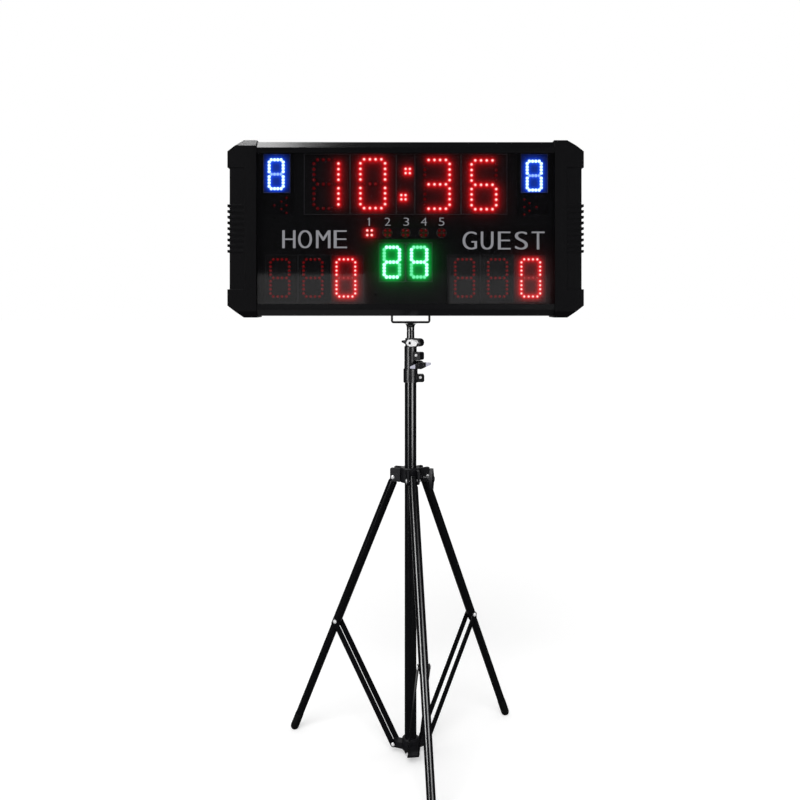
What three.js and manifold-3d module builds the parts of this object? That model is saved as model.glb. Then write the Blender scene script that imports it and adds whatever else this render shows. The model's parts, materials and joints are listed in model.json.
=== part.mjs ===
// Electronic sports scoreboard on a folding tripod stand.
// Millimetres, +Z up, the display faces -Y. The origin is the centre of the flat
// underside of the mast's foot cap. The stand is open and the mast is lowered.

import * as THREE from 'three';
import { mergeVertices } from 'three/addons/utils/BufferGeometryUtils.js';
import Module from 'manifold-3d';

const wasm = await Module();
wasm.setup();

// Fits and round shapes
const FIT_GAP = 0.3;
const PIN_GAP = 0.15;
const CUT_OVERRUN = 2;
const FUSE_DEPTH = 0.6;
const MERGE_DISTANCE = 0.0001;
const ROUND_SIDES = 24;
const SMALL_SIDES = 12;
const ARC_STEPS = 4;

// Display casing
const BOARD_WIDTH = 826;
const BOARD_HEIGHT = 413.6;
const BOARD_DEPTH = 90;
const CAP_WIDTH = 67;
const CAP_WALL = 3;
const CAP_PROUD_HEIGHT = 4;
const CAP_PROUD_DEPTH = 3;
const CAP_CORNER_WIDTH = 36;
const CAP_CORNER_HEIGHT = 28;
const GRIP_LENGTH = 282;
const GRIP_SIDE_DEPTH = 5;
const GRIP_FACE_DEPTH = 1.2;
const GRIP_FACE_WIDTH = 39;
const GRIP_RIB_COUNT = 9;
const GRIP_RIB_PITCH = 13.2;
const GRIP_RIB_HEIGHT = 6;
const RAIL_WALL = 2;
const RAIL_BEVEL_HEIGHT = 14.6;
const RAIL_BEVEL_DEPTH = 12;
const RAIL_LIP_HEIGHT = 13;
const RAIL_INSERTION = 20;
const GROOVE_RIB_HEIGHT = 6;
const GROOVE_ROOF = 2;
const FRONT_PANEL_THICKNESS = 3;
const BACK_PANEL_THICKNESS = 2;

// Display modules: pitch between the light columns and rows of each digit size
const TIMER_COLUMN_PITCH = 57.4;
const TIMER_ROW_PITCH = 56.8;
const FOUL_COLUMN_PITCH = 37.2;
const FOUL_ROW_PITCH = 34.8;
const SHOT_COLUMN_PITCH = 36.4;
const SHOT_ROW_PITCH = 35.6;
const SCORE_COLUMN_PITCH = 44.6;
const SCORE_ROW_PITCH = 42.6;
const TIMER_MARGIN_X = 24.8;
const TIMER_MARGIN_Z = 13.9;
const FOUL_MARGIN_X = 17.4;
const SHOT_MARGIN_X = 12.8;
const SHOT_MARGIN_Z = 10.3;
const SCORE_MARGIN_X = 15.7;
const SCORE_MARGIN_Z = 12.8;
const COLON_WIDTH = 42;
const MODULE_SPACE = 1;
const FOUL_SPACE = 23;
const SCORE_SIDE_SPACE = 35;
const SCORE_BOTTOM_SPACE = 4;
const PERIOD_TOP_SHARE = 0.326;
const PERIOD_HEIGHT = 28;
const PERIOD_PITCH = 42;
const PERIOD_COUNT = 5;
const SHOT_TOP_SHARE = 0.099;
const LIGHT_DIAMETER = 9;
const LIGHT_HEIGHT = 8;
const LIGHT_CLEARANCE = 0.5;
const SEGMENT_CORNER_GAP = 4.5;
const COLON_DOT_SIZE = 18;
const COLON_DOT_DROP = 30.5;
const COLON_DOT_LEAN = 5;
const ARROW_REACH = 28;
const ARROW_HEIGHT = 35;
const ARROW_DROP = 71.3;
const FOUL_DIGIT_RAISE = 22.6;
const CIRCUIT_THICKNESS = 1.6;
const TRAY_THICKNESS = 1.5;
const TRAY_FLANGE = 20;

// Electronics behind the tray
const CONTROLLER_WIDTH = 150;
const CONTROLLER_HEIGHT = 90;
const CONTROLLER_STANDOFF = 8;
const CONTROLLER_CHIP = 24;
const CONTROLLER_CHIP_THICKNESS = 3;
const SUPPLY_WIDTH = 130;
const SUPPLY_HEIGHT = 78;
const SUPPLY_THICKNESS = 34;
const SUPPLY_FOOT = 12;
const SUPPLY_FOOT_THICKNESS = 2;
const SUPPLY_FROM_END = 263;
const SUPPLY_PLACE_Z = -90;
const BUZZER_DIAMETER = 56;
const BUZZER_THICKNESS = 28;
const BUZZER_RIM = 6;
const BUZZER_RIM_THICKNESS = 2.5;
const BUZZER_FROM_END = 263;
const BUZZER_PLACE_Z = -90;
const BUZZER_SLOT_COUNT = 5;
const BUZZER_SLOT_PITCH = 9;
const BUZZER_SLOT_HEIGHT = 4;
const BUZZER_SLOT_LENGTH = 40;

// Power inlet with its rocker switch, on the back
const INLET_FROM_END = 153;
const INLET_PLACE_Z = -110;
const INLET_WIDTH = 32;
const INLET_HEIGHT = 62;
const INLET_FLANGE = 2.5;
const INLET_RIM = 2.6;
const INLET_DEPTH = 24;
const SOCKET_WIDTH = 24.6;
const SOCKET_HEIGHT = 17;
const SOCKET_DEPTH = 17;
const SOCKET_CORNER = 4;
const SOCKET_DROP = 13;
const CONTACT_LENGTH = 11;
const CONTACT_WIDTH = 4;
const CONTACT_THICKNESS = 2;
const CONTACT_PITCH = 7;
const CONTACT_RISE = 2;
const ROCKER_WIDTH = 14;
const ROCKER_LENGTH = 20;
const ROCKER_THICKNESS = 6;
const ROCKER_DISH = 1.8;
const ROCKER_TILT = 9;
const ROCKER_RAISE = 14;
const ROCKER_CLEARANCE = 0.8;

// Mount bracket between the casing and the mast
const BOARD_OFFSET_X = -12;
const BRACKET_WIDTH = 93;
const BRACKET_STRIP = 5.2;
const BRACKET_DEPTH = 40;
const BRACKET_HEIGHT = 17.5;
const BRACKET_CORNER = 6.5;
const NECK_FLARE_RADIUS = 20;
const NECK_FLARE_HEIGHT = 10;
const NECK_LENGTH = 19.2;
const SPIGOT_LENGTH = 40;
const BOLT_DIAMETER = 3;
const BOLT_LENGTH = 10;
const BOLT_HEAD_DIAMETER = 6;
const BOLT_HEAD_HEIGHT = 2;

// Mast
const MAIN_TUBE_DIAMETER = 28;
const MIDDLE_TUBE_DIAMETER = 23.6;
const TOP_TUBE_DIAMETER = 18.4;
const TUBE_WALL = 1.5;
const TUBE_END_HEIGHT = 999;
const MIDDLE_TUBE_LENGTH = 690;
const TOP_TUBE_LENGTH = 630;
const CLAMP_HEIGHT = 52;
const CLAMP_SHOULDER = 32;
const CLAMP_STOP_GAP = 1;
const TOP_CLAMP_DROP = 16;
const CLAMP_WALL = 3;
const CLAMP_SHOULDER_WALL = 2.4;
const CLAMP_FLANGE = 1.5;
const EAR_OFFSET = 23;
const EAR_UPPER_RADIUS = 10;
const EAR_LOWER_HALF = 9.5;
const EAR_LOWER_CORNER = 4.5;
const EAR_THICKNESS = 18;
const EAR_SLIT = 3;
const EAR_EDGE = 1;
const UPPER_CLAMP_AZIMUTH = 55;
const LOWER_CLAMP_AZIMUTH = 90;
const PINCH_HEAD_DIAMETER = 6.5;
const PINCH_HEAD_HEIGHT = 3;
const PINCH_RISE = 2;

// Wing screws
const WING_SPAN = 50;
const WING_CENTRE_WIDTH = 17;
const WING_TIP_WIDTH = 4;
const WING_THICKNESS = 8;
const WING_BOSS_DIAMETER = 13;
const WING_BOSS_LENGTH = 26;
const WING_STEM_DIAMETER = 6;
const WING_STAND_OFF = 2;
const UPPER_WING_TURN = -8;
const LOWER_WING_TURN = 11;
const COLLAR_WING_TURN = 90;

// Tripod
const FLOOR_CLEARANCE = 3;
const FRONT_AZIMUTH = 7.6;
const LEG_NAMES = ['front', 'right', 'left'];
const PIVOT_RADIUS = 40;
const COLLAR_PIVOT_HEIGHT = 653;
const HUB_PIVOT_HEIGHT = 18;
const KNEE_RADIUS = 194;
const KNEE_HEIGHT = 287;
const LEG_DIAMETER = 19;
const LEG_WALL = 1.5;
const LEG_TOP = 9;
const KNEE_SLEEVE_LENGTH = 26;
const FOOT_DIAMETER = 22.4;
const FOOT_LENGTH = 34;
const FOOT_PAD_DEPTH = 2;
const FOOT_FLOOR = 5;
const STRUT_WIDTH = 14;
const STRUT_THICKNESS = 2;
const RIVET_DIAMETER = 9;
const RIVET_HEIGHT = 2.4;
const PIN_DIAMETER = 6;
const COLLAR_HEIGHT = 34;
const COLLAR_RADIUS = 24;
const COLLAR_BELOW_PIVOT = 10;
const COLLAR_EAR_THICKNESS = 5;
const COLLAR_EAR_REACH = 6.5;
const COLLAR_EAR_CORNER = 4;
const COLLAR_RUN_GAP = 0.4;
const COLLAR_CHAMFER = 2;
const COLLAR_BOSS_DIAMETER = 16;
const COLLAR_BOSS_REACH = 31;
const COLLAR_WING_AZIMUTH = 68;
const HUB_RADIUS = 20;
const HUB_TOP = 38;
const HUB_CHAMFER = 2;
const MAST_SEAT = 15;
const FOOT_CAP_RADIUS = 15;
const FOOT_CAP_HEIGHT = 10.7;
const FOOT_CAP_ROUND = 5;
const FOOT_CAP_STUD_RADIUS = 8;
const FOOT_CAP_STUD_LENGTH = 8;

// Places worked out from the sizes above
const RAIL_HEIGHT = BOARD_HEIGHT - 2 * CAP_PROUD_HEIGHT;
const RAIL_DEPTH = BOARD_DEPTH - 2 * CAP_PROUD_DEPTH;
const RAIL_FACE = RAIL_BEVEL_HEIGHT + RAIL_LIP_HEIGHT;
const RAIL_LENGTH = BOARD_WIDTH - 2 * (CAP_WIDTH - RAIL_INSERTION);
const VIEW_HALF_HEIGHT = RAIL_HEIGHT / 2 - RAIL_FACE;
const PANEL_HEIGHT = RAIL_HEIGHT - 2 * (RAIL_BEVEL_HEIGHT + GROOVE_ROOF + FIT_GAP);
const PANEL_FRONT = -RAIL_DEPTH / 2 + RAIL_WALL + FIT_GAP;
const LIGHT_FRONT = PANEL_FRONT + FRONT_PANEL_THICKNESS + LIGHT_CLEARANCE;
const CIRCUIT_FRONT = LIGHT_FRONT + LIGHT_HEIGHT;
const TRAY_FRONT = CIRCUIT_FRONT + CIRCUIT_THICKNESS + FIT_GAP;
const TRAY_BACK = TRAY_FRONT + TRAY_THICKNESS;
const BACK_PANEL_OUTER = RAIL_DEPTH / 2 - RAIL_WALL - FIT_GAP;
const BACK_PANEL_INNER = BACK_PANEL_OUTER - BACK_PANEL_THICKNESS;
const TIMER_WIDTH = TIMER_COLUMN_PITCH + 2 * TIMER_MARGIN_X;
const TIMER_HEIGHT = 2 * (TIMER_ROW_PITCH + TIMER_MARGIN_Z);
const FOUL_WIDTH = FOUL_COLUMN_PITCH + 2 * FOUL_MARGIN_X;
const SHOT_WIDTH = SHOT_COLUMN_PITCH + 2 * SHOT_MARGIN_X;
const SHOT_HEIGHT = 2 * (SHOT_ROW_PITCH + SHOT_MARGIN_Z);
const SCORE_WIDTH = SCORE_COLUMN_PITCH + 2 * SCORE_MARGIN_X;
const SCORE_HEIGHT = 2 * (SCORE_ROW_PITCH + SCORE_MARGIN_Z);
const TIMER_INNER_X = COLON_WIDTH / 2 + MODULE_SPACE + TIMER_WIDTH / 2;
const TIMER_OUTER_X = TIMER_INNER_X + TIMER_WIDTH + MODULE_SPACE;
const TIMER_Z = VIEW_HALF_HEIGHT - TIMER_HEIGHT / 2;
const FOUL_X = TIMER_OUTER_X + TIMER_WIDTH / 2 + FOUL_SPACE + FOUL_WIDTH / 2;
const FREE_HEIGHT = 2 * VIEW_HALF_HEIGHT - TIMER_HEIGHT - PERIOD_HEIGHT - SHOT_HEIGHT;
const PERIOD_Z = TIMER_Z - TIMER_HEIGHT / 2 - FREE_HEIGHT * PERIOD_TOP_SHARE - PERIOD_HEIGHT / 2;
const PERIOD_WIDTH = PERIOD_COUNT * PERIOD_PITCH;
const SHOT_X = (SHOT_WIDTH + MODULE_SPACE) / 2;
const SHOT_Z = PERIOD_Z - PERIOD_HEIGHT / 2 - FREE_HEIGHT * SHOT_TOP_SHARE - SHOT_HEIGHT / 2;
const SUPPLY_PLACE_X = SUPPLY_FROM_END - BOARD_WIDTH / 2;
const BUZZER_PLACE_X = BOARD_WIDTH / 2 - BUZZER_FROM_END;
const INLET_PLACE_X = BOARD_WIDTH / 2 - INLET_FROM_END;
const SCORE_PITCH = SCORE_WIDTH + MODULE_SPACE;
const SCORE_INNER_X = SHOT_X + SHOT_WIDTH / 2 + SCORE_SIDE_SPACE + SCORE_WIDTH / 2;
const SCORE_Z = -VIEW_HALF_HEIGHT + SCORE_BOTTOM_SPACE + SCORE_HEIGHT / 2;
const BRACKET_BASE = TUBE_END_HEIGHT + NECK_LENGTH;
const RAIL_BOTTOM = BRACKET_BASE + BRACKET_HEIGHT + FIT_GAP;
const BOLT_SEAT = RAIL_BOTTOM + RAIL_WALL + FIT_GAP;
const BOARD_CENTRE_Z = RAIL_BOTTOM + RAIL_HEIGHT / 2;
const UPPER_CLAMP_TOP = TUBE_END_HEIGHT - TOP_CLAMP_DROP;
const UPPER_CLAMP_BASE = UPPER_CLAMP_TOP - CLAMP_HEIGHT;
const LOWER_CLAMP_BASE = UPPER_CLAMP_BASE - CLAMP_STOP_GAP - CLAMP_HEIGHT;
const MAIN_TUBE_TOP = LOWER_CLAMP_BASE + CLAMP_SHOULDER - FIT_GAP;
const MIDDLE_TUBE_TOP = UPPER_CLAMP_BASE + CLAMP_SHOULDER - FIT_GAP;
const LEG_TILT = Math.atan2(KNEE_RADIUS - PIVOT_RADIUS, COLLAR_PIVOT_HEIGHT - KNEE_HEIGHT);
const STRUT_TILT = Math.atan2(KNEE_RADIUS - PIVOT_RADIUS, KNEE_HEIGHT - HUB_PIVOT_HEIGHT);
const KNEE_DISTANCE = (COLLAR_PIVOT_HEIGHT - KNEE_HEIGHT) / Math.cos(LEG_TILT);
const STRUT_LENGTH = (KNEE_HEIGHT - HUB_PIVOT_HEIGHT) / Math.cos(STRUT_TILT);
const FOOT_CENTRE_HEIGHT = FOOT_DIAMETER / 2 - FOOT_PAD_DEPTH - FLOOR_CLEARANCE;
const FOOT_DISTANCE = (COLLAR_PIVOT_HEIGHT - FOOT_CENTRE_HEIGHT) / Math.cos(LEG_TILT);
const STRUT_INNER_HALF = FOOT_DIAMETER / 2 + FIT_GAP;
const KNEE_SLEEVE_DIAMETER = FOOT_DIAMETER;
const COLLAR_EAR_HALF = LEG_DIAMETER / 2 + COLLAR_RUN_GAP;
const COLLAR_BASE = COLLAR_PIVOT_HEIGHT - COLLAR_BELOW_PIVOT;

// Materials
const finish = (color, roughness, metalness = 0) =>
  new THREE.MeshStandardMaterial({ color, roughness, metalness });
const BLACK_ABS = finish(0x17171b, 0.6);
const BLACK_ALUMINIUM = finish(0x26262a, 0.45, 0.6);
const DARK_ACRYLIC = finish(0x08080c, 0.12);
const CIRCUIT_BLACK = finish(0x101014, 0.7);
const CIRCUIT_GREEN = finish(0x1d5a34, 0.6);
const RED_LIGHTS = finish(0xc01c18, 0.4);
const GREEN_LIGHTS = finish(0x1fc46a, 0.4);
const BLUE_LIGHTS = finish(0x2452e8, 0.4);
const BARE_METAL = finish(0xa8a8ac, 0.4, 0.8);
const BRIGHT_STEEL = finish(0xd0d0d4, 0.3, 0.9);
const BLACK_PAINT = finish(0x141416, 0.25);
const BLACK_NYLON = finish(0x1a1a1d, 0.6);
const BLACK_RUBBER = finish(0x0e0e10, 0.85);

// Geometry helpers

function toSolid(geometry) {
  const bare = geometry.clone();
  bare.deleteAttribute('normal');
  bare.deleteAttribute('uv');
  const merged = mergeVertices(bare, MERGE_DISTANCE);
  const vertProperties = new Float32Array(merged.attributes.position.array);
  const triVerts = new Uint32Array(merged.index.array);
  return new wasm.Manifold(new wasm.Mesh({ numProp: 3, vertProperties, triVerts }));
}

function toGeometry(solid) {
  const mesh = solid.getMesh();
  const geometry = new THREE.BufferGeometry();
  geometry.setAttribute('position', new THREE.BufferAttribute(new Float32Array(mesh.vertProperties), 3));
  geometry.setIndex(new THREE.BufferAttribute(new Uint32Array(mesh.triVerts), 1));
  return geometry;
}

function join(...geometries) {
  return toGeometry(geometries.map(toSolid).reduce((total, solid) => total.add(solid)));
}

function cut(geometry, ...tools) {
  return toGeometry(tools.map(toSolid).reduce((total, solid) => total.subtract(solid), toSolid(geometry)));
}

function overlapOf(geometry, other) {
  return toGeometry(toSolid(geometry).intersect(toSolid(other)));
}

// A block given by the low and high limits on each axis
function block(x0, x1, y0, y1, z0, z1) {
  const geometry = new THREE.BoxGeometry(x1 - x0, y1 - y0, z1 - z0);
  return geometry.translate((x0 + x1) / 2, (y0 + y1) / 2, (z0 + z1) / 2);
}

// Outline in X and Z, extruded from y0 to y1
function extrudeAlongY(shape, y0, y1) {
  const geometry = new THREE.ExtrudeGeometry(shape, { depth: y1 - y0, bevelEnabled: false, curveSegments: ARC_STEPS });
  return geometry.rotateX(Math.PI / 2).translate(0, y1, 0);
}

// Outline in Y and Z, extruded from x0 to x1
function extrudeAlongX(shape, x0, x1) {
  const geometry = new THREE.ExtrudeGeometry(shape, { depth: x1 - x0, bevelEnabled: false, curveSegments: ARC_STEPS });
  const turn = new THREE.Matrix4().makeBasis(
    new THREE.Vector3(0, 1, 0), new THREE.Vector3(0, 0, 1), new THREE.Vector3(1, 0, 0));
  return geometry.applyMatrix4(turn).translate(x0, 0, 0);
}

function outline(points) {
  return new THREE.Shape(points.map(([u, v]) => new THREE.Vector2(u, v)));
}

// A straight slot shape: two round ends, centred on the origin and its other end
function stadium(length, radius) {
  const shape = new THREE.Shape();
  shape.absarc(0, 0, radius, Math.PI, 2 * Math.PI, false);
  shape.absarc(0, length, radius, 0, Math.PI, false);
  return shape;
}

function rodAlongZ(radius, z0, z1, sides = ROUND_SIDES) {
  const geometry = new THREE.CylinderGeometry(radius, radius, z1 - z0, sides);
  return geometry.rotateX(Math.PI / 2).translate(0, 0, (z0 + z1) / 2);
}

function rodAlongY(radius, y0, y1, x, z, sides = ROUND_SIDES) {
  const geometry = new THREE.CylinderGeometry(radius, radius, y1 - y0, sides);
  return geometry.translate(x, (y0 + y1) / 2, z);
}

function rodAlongX(radius, x0, x1, y, z, sides = ROUND_SIDES) {
  const geometry = new THREE.CylinderGeometry(radius, radius, x1 - x0, sides);
  return geometry.rotateZ(-Math.PI / 2).translate((x0 + x1) / 2, y, z);
}

// A turned solid: profile points are radius and height
function turned(points, sides = ROUND_SIDES) {
  const profile = points.map(([radius, height]) => new THREE.Vector2(radius, height));
  return new THREE.LatheGeometry(profile, sides).rotateX(Math.PI / 2);
}

function tube(outerRadius, innerRadius, z0, z1, sides = ROUND_SIDES) {
  const profile = [[innerRadius, z0], [outerRadius, z0], [outerRadius, z1], [innerRadius, z1], [innerRadius, z0]];
  return turned(profile, sides);
}

// Rivet or pin along X with a domed head at each end
function headedPin(halfGrip, headRadius) {
  const radius = PIN_DIAMETER / 2;
  const crown = headRadius / 2;
  const end = halfGrip + RIVET_HEIGHT;
  const profile = [
    [0, -end], [crown, -end], [headRadius, -halfGrip], [radius, -halfGrip],
    [radius, halfGrip], [headRadius, halfGrip], [crown, end], [0, end],
  ];
  return turned(profile, SMALL_SIDES).rotateY(Math.PI / 2);
}

const degrees = THREE.MathUtils.degToRad;

function part(name, geometry, material) {
  const mesh = new THREE.Mesh(geometry, material);
  mesh.name = name;
  return mesh;
}

function groupOf(children, { x = 0, y = 0, z = 0, turn = 0 } = {}) {
  const group = new THREE.Group();
  group.position.set(x, y, z);
  group.rotation.z = turn;
  group.add(...children);
  return group;
}

// Casing

// Section of the casing in Y and Z, with its long edges bevelled front and back
function casingSection(height, depth) {
  const halfHeight = height / 2;
  const halfDepth = depth / 2;
  const flat = halfDepth - RAIL_BEVEL_DEPTH;
  const straight = halfHeight - RAIL_BEVEL_HEIGHT;
  return outline([
    [-halfDepth, -straight], [-flat, -halfHeight], [flat, -halfHeight], [halfDepth, -straight],
    [halfDepth, straight], [flat, halfHeight], [-flat, halfHeight], [-halfDepth, straight],
  ]);
}

// Face of an end cap in X and Z: x runs outwards from the casing's middle
function capFace(side, reach, halfHeight, inner) {
  return outline([
    [side * inner, -halfHeight],
    [side * (reach - CAP_CORNER_WIDTH), -halfHeight],
    [side * reach, -halfHeight + CAP_CORNER_HEIGHT],
    [side * reach, halfHeight - CAP_CORNER_HEIGHT],
    [side * (reach - CAP_CORNER_WIDTH), halfHeight],
    [side * inner, halfHeight],
  ]);
}

function spanned(side, near, far, y0, y1, z0, z1) {
  return block(Math.min(side * near, side * far), Math.max(side * near, side * far), y0, y1, z0, z1);
}

// Grip recess round the cap's outer side, with the raised ribs left standing in it
function gripCut(side, reach) {
  const halfDepth = BOARD_DEPTH / 2;
  const halfLength = GRIP_LENGTH / 2;
  const floor = reach - GRIP_SIDE_DEPTH;
  const faceFloor = halfDepth - GRIP_FACE_DEPTH;
  const faceInner = reach - GRIP_FACE_WIDTH;
  const outer = reach + CUT_OVERRUN;
  const depth = halfDepth + CUT_OVERRUN;
  const pocket = join(
    spanned(side, floor, outer, -depth, depth, -halfLength, halfLength),
    spanned(side, faceInner, outer, -depth, -faceFloor, -halfLength, halfLength),
    spanned(side, faceInner, outer, faceFloor, depth, -halfLength, halfLength));
  const ribs = [];
  for (let index = 0; index < GRIP_RIB_COUNT; index += 1) {
    const centre = (index - (GRIP_RIB_COUNT - 1) / 2) * GRIP_RIB_PITCH;
    const low = centre - GRIP_RIB_HEIGHT / 2;
    const high = centre + GRIP_RIB_HEIGHT / 2;
    ribs.push(spanned(side, faceInner - CUT_OVERRUN, outer + CUT_OVERRUN,
      -depth - CUT_OVERRUN, depth + CUT_OVERRUN, low, high));
  }
  return cut(pocket, ...ribs);
}

function endCap(side) {
  const reach = BOARD_WIDTH / 2;
  const inner = reach - CAP_WIDTH;
  const halfDepth = BOARD_DEPTH / 2;
  const low = Math.min(side * inner, side * reach);
  const high = Math.max(side * inner, side * reach);
  const body = overlapOf(
    extrudeAlongX(casingSection(BOARD_HEIGHT, BOARD_DEPTH), low, high),
    extrudeAlongY(capFace(side, reach, BOARD_HEIGHT / 2, inner - CUT_OVERRUN),
      -halfDepth - CUT_OVERRUN, halfDepth + CUT_OVERRUN));
  const hollowReach = reach - GRIP_SIDE_DEPTH - CAP_WALL;
  const hollowHalfHeight = RAIL_HEIGHT / 2 + FIT_GAP;
  const hollow = overlapOf(
    extrudeAlongX(casingSection(RAIL_HEIGHT + 2 * FIT_GAP, RAIL_DEPTH + 2 * FIT_GAP),
      low - CUT_OVERRUN, high + CUT_OVERRUN),
    extrudeAlongY(capFace(side, hollowReach, hollowHalfHeight, inner - CUT_OVERRUN),
      -halfDepth, halfDepth));
  return cut(body, hollow, gripCut(side, reach));
}

// Half of the rail's section: from the lip at the outer face to the inner top
function railHalf(sign) {
  const half = RAIL_DEPTH / 2;
  const panel = sign < 0 ? FRONT_PANEL_THICKNESS : BACK_PANEL_THICKNESS;
  const ribOuter = half - RAIL_WALL - panel - 2 * FIT_GAP;
  const ribInner = ribOuter - RAIL_WALL;
  const slope = Math.hypot(RAIL_BEVEL_DEPTH, RAIL_BEVEL_HEIGHT);
  const grooveRoof = RAIL_BEVEL_HEIGHT + GROOVE_ROOF;
  const innerTop = half - RAIL_BEVEL_DEPTH - RAIL_WALL * (slope - RAIL_BEVEL_DEPTH) / RAIL_BEVEL_HEIGHT;
  const ribTop = (RAIL_WALL * slope + RAIL_BEVEL_HEIGHT * (ribInner - half + RAIL_BEVEL_DEPTH)) / RAIL_BEVEL_DEPTH;
  return [
    [half - RAIL_BEVEL_DEPTH, 0], [half, RAIL_BEVEL_HEIGHT], [half, RAIL_FACE],
    [half - RAIL_WALL, RAIL_FACE], [half - RAIL_WALL, grooveRoof], [ribOuter, grooveRoof],
    [ribOuter, grooveRoof + GROOVE_RIB_HEIGHT], [ribInner, grooveRoof + GROOVE_RIB_HEIGHT],
    [ribInner, ribTop], [innerTop, RAIL_WALL],
  ].map(([depth, drop]) => [sign * depth, drop]);
}

function rail(side) {
  const points = [...railHalf(1), ...railHalf(-1).reverse()];
  const section = outline(points.map(([depth, drop]) => [depth, side * (RAIL_HEIGHT / 2 - drop)]));
  return extrudeAlongX(section, -RAIL_LENGTH / 2, RAIL_LENGTH / 2);
}

function bottomRail() {
  const holes = [-1, 1].map((side) =>
    rodAlongZ(BOLT_DIAMETER / 2 + PIN_GAP, -RAIL_HEIGHT / 2 - CUT_OVERRUN,
      -RAIL_HEIGHT / 2 + RAIL_WALL + CUT_OVERRUN, SMALL_SIDES)
      .translate(boltX(side) - BOARD_OFFSET_X, 0, 0));
  return cut(rail(-1), ...holes);
}

function boltX(side) {
  return side * (BRACKET_WIDTH - BRACKET_STRIP) / 2;
}

function backPanel() {
  const half = RAIL_LENGTH / 2;
  const sheet = block(-half, half, BACK_PANEL_INNER, BACK_PANEL_OUTER, -PANEL_HEIGHT / 2, PANEL_HEIGHT / 2);
  const inletHalf = INLET_WIDTH / 2 - INLET_RIM + FIT_GAP;
  const inletRise = INLET_HEIGHT / 2 - INLET_RIM + FIT_GAP;
  const near = BACK_PANEL_INNER - CUT_OVERRUN;
  const far = BACK_PANEL_OUTER + CUT_OVERRUN;
  const openings = [block(INLET_PLACE_X - inletHalf, INLET_PLACE_X + inletHalf, near, far,
    INLET_PLACE_Z - inletRise, INLET_PLACE_Z + inletRise)];
  for (let index = 0; index < BUZZER_SLOT_COUNT; index += 1) {
    const z = BUZZER_PLACE_Z + (index - (BUZZER_SLOT_COUNT - 1) / 2) * BUZZER_SLOT_PITCH;
    openings.push(block(BUZZER_PLACE_X - BUZZER_SLOT_LENGTH / 2, BUZZER_PLACE_X + BUZZER_SLOT_LENGTH / 2,
      near, far, z - BUZZER_SLOT_HEIGHT / 2, z + BUZZER_SLOT_HEIGHT / 2));
  }
  return cut(sheet, ...openings);
}

function frontPanel() {
  const half = RAIL_LENGTH / 2;
  return block(-half, half, PANEL_FRONT, PANEL_FRONT + FRONT_PANEL_THICKNESS, -PANEL_HEIGHT / 2, PANEL_HEIGHT / 2);
}

// Sheet behind the modules, with flanges that stand against the rails
function moduleTray() {
  const half = RAIL_LENGTH / 2;
  const reach = RAIL_HEIGHT / 2 - RAIL_WALL - FIT_GAP;
  const inner = reach - TRAY_THICKNESS;
  const flange = TRAY_FRONT + TRAY_FLANGE;
  const section = outline([
    [TRAY_FRONT, -reach], [flange, -reach], [flange, -inner], [TRAY_BACK, -inner],
    [TRAY_BACK, inner], [flange, inner], [flange, reach], [TRAY_FRONT, reach],
  ]);
  return extrudeAlongX(section, -half, half);
}

// Modules

// One light segment: a bar with pointed ends, upright or level
function segmentBar(x, z, length, upright) {
  const half = LIGHT_DIAMETER / 2;
  const end = length / 2;
  const points = [
    [-end, 0], [-end + half, -half], [end - half, -half],
    [end, 0], [end - half, half], [-end + half, half],
  ];
  const placed = points.map(([along, across]) => (upright ? [x + across, z + along] : [x + along, z + across]));
  return extrudeAlongY(outline(placed), LIGHT_FRONT, CIRCUIT_FRONT + FUSE_DEPTH);
}

function digitBars(columnPitch, rowPitch, x, z) {
  const bars = [];
  for (const row of [-1, 0, 1]) {
    bars.push(segmentBar(x, z + row * rowPitch, columnPitch - 2 * SEGMENT_CORNER_GAP, false));
  }
  for (const side of [-1, 1]) {
    for (const row of [-1, 1]) {
      const length = rowPitch - 2 * SEGMENT_CORNER_GAP;
      bars.push(segmentBar(x + side * columnPitch / 2, z + row * rowPitch / 2, length, true));
    }
  }
  return bars;
}

function circuit(width, height) {
  return block(-width / 2, width / 2, CIRCUIT_FRONT, CIRCUIT_FRONT + CIRCUIT_THICKNESS, -height / 2, height / 2);
}

function digitModule(width, height, columnPitch, rowPitch) {
  return join(circuit(width, height), ...digitBars(columnPitch, rowPitch, 0, 0));
}

// Foul counter: a small digit above the possession arrow that points outwards
function foulModule(side) {
  const digit = digitBars(FOUL_COLUMN_PITCH, FOUL_ROW_PITCH, 0, FOUL_DIGIT_RAISE);
  const arrowZ = FOUL_DIGIT_RAISE - ARROW_DROP;
  const arrow = outline([
    [side * ARROW_REACH / 2, arrowZ],
    [-side * ARROW_REACH / 2, arrowZ + ARROW_HEIGHT / 2],
    [-side * ARROW_REACH / 2, arrowZ - ARROW_HEIGHT / 2],
  ]);
  const arrowHead = extrudeAlongY(arrow, LIGHT_FRONT, CIRCUIT_FRONT + FUSE_DEPTH);
  return join(circuit(FOUL_WIDTH, TIMER_HEIGHT), ...digit, arrowHead);
}

function colonModule() {
  const half = COLON_DOT_SIZE / 2;
  const dots = [1, -1].map((row) => {
    const x = row * COLON_DOT_LEAN;
    const z = row * COLON_DOT_DROP;
    return block(x - half, x + half, LIGHT_FRONT, CIRCUIT_FRONT + FUSE_DEPTH, z - half, z + half);
  });
  return join(circuit(COLON_WIDTH, TIMER_HEIGHT), ...dots);
}

function periodModule() {
  const lights = [];
  for (let index = 0; index < PERIOD_COUNT; index += 1) {
    const x = (index - (PERIOD_COUNT - 1) / 2) * PERIOD_PITCH;
    lights.push(rodAlongY(LIGHT_DIAMETER, LIGHT_FRONT, CIRCUIT_FRONT + FUSE_DEPTH, x, 0, SMALL_SIDES));
  }
  return join(circuit(PERIOD_WIDTH, PERIOD_HEIGHT), ...lights);
}

// Electronics

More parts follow.
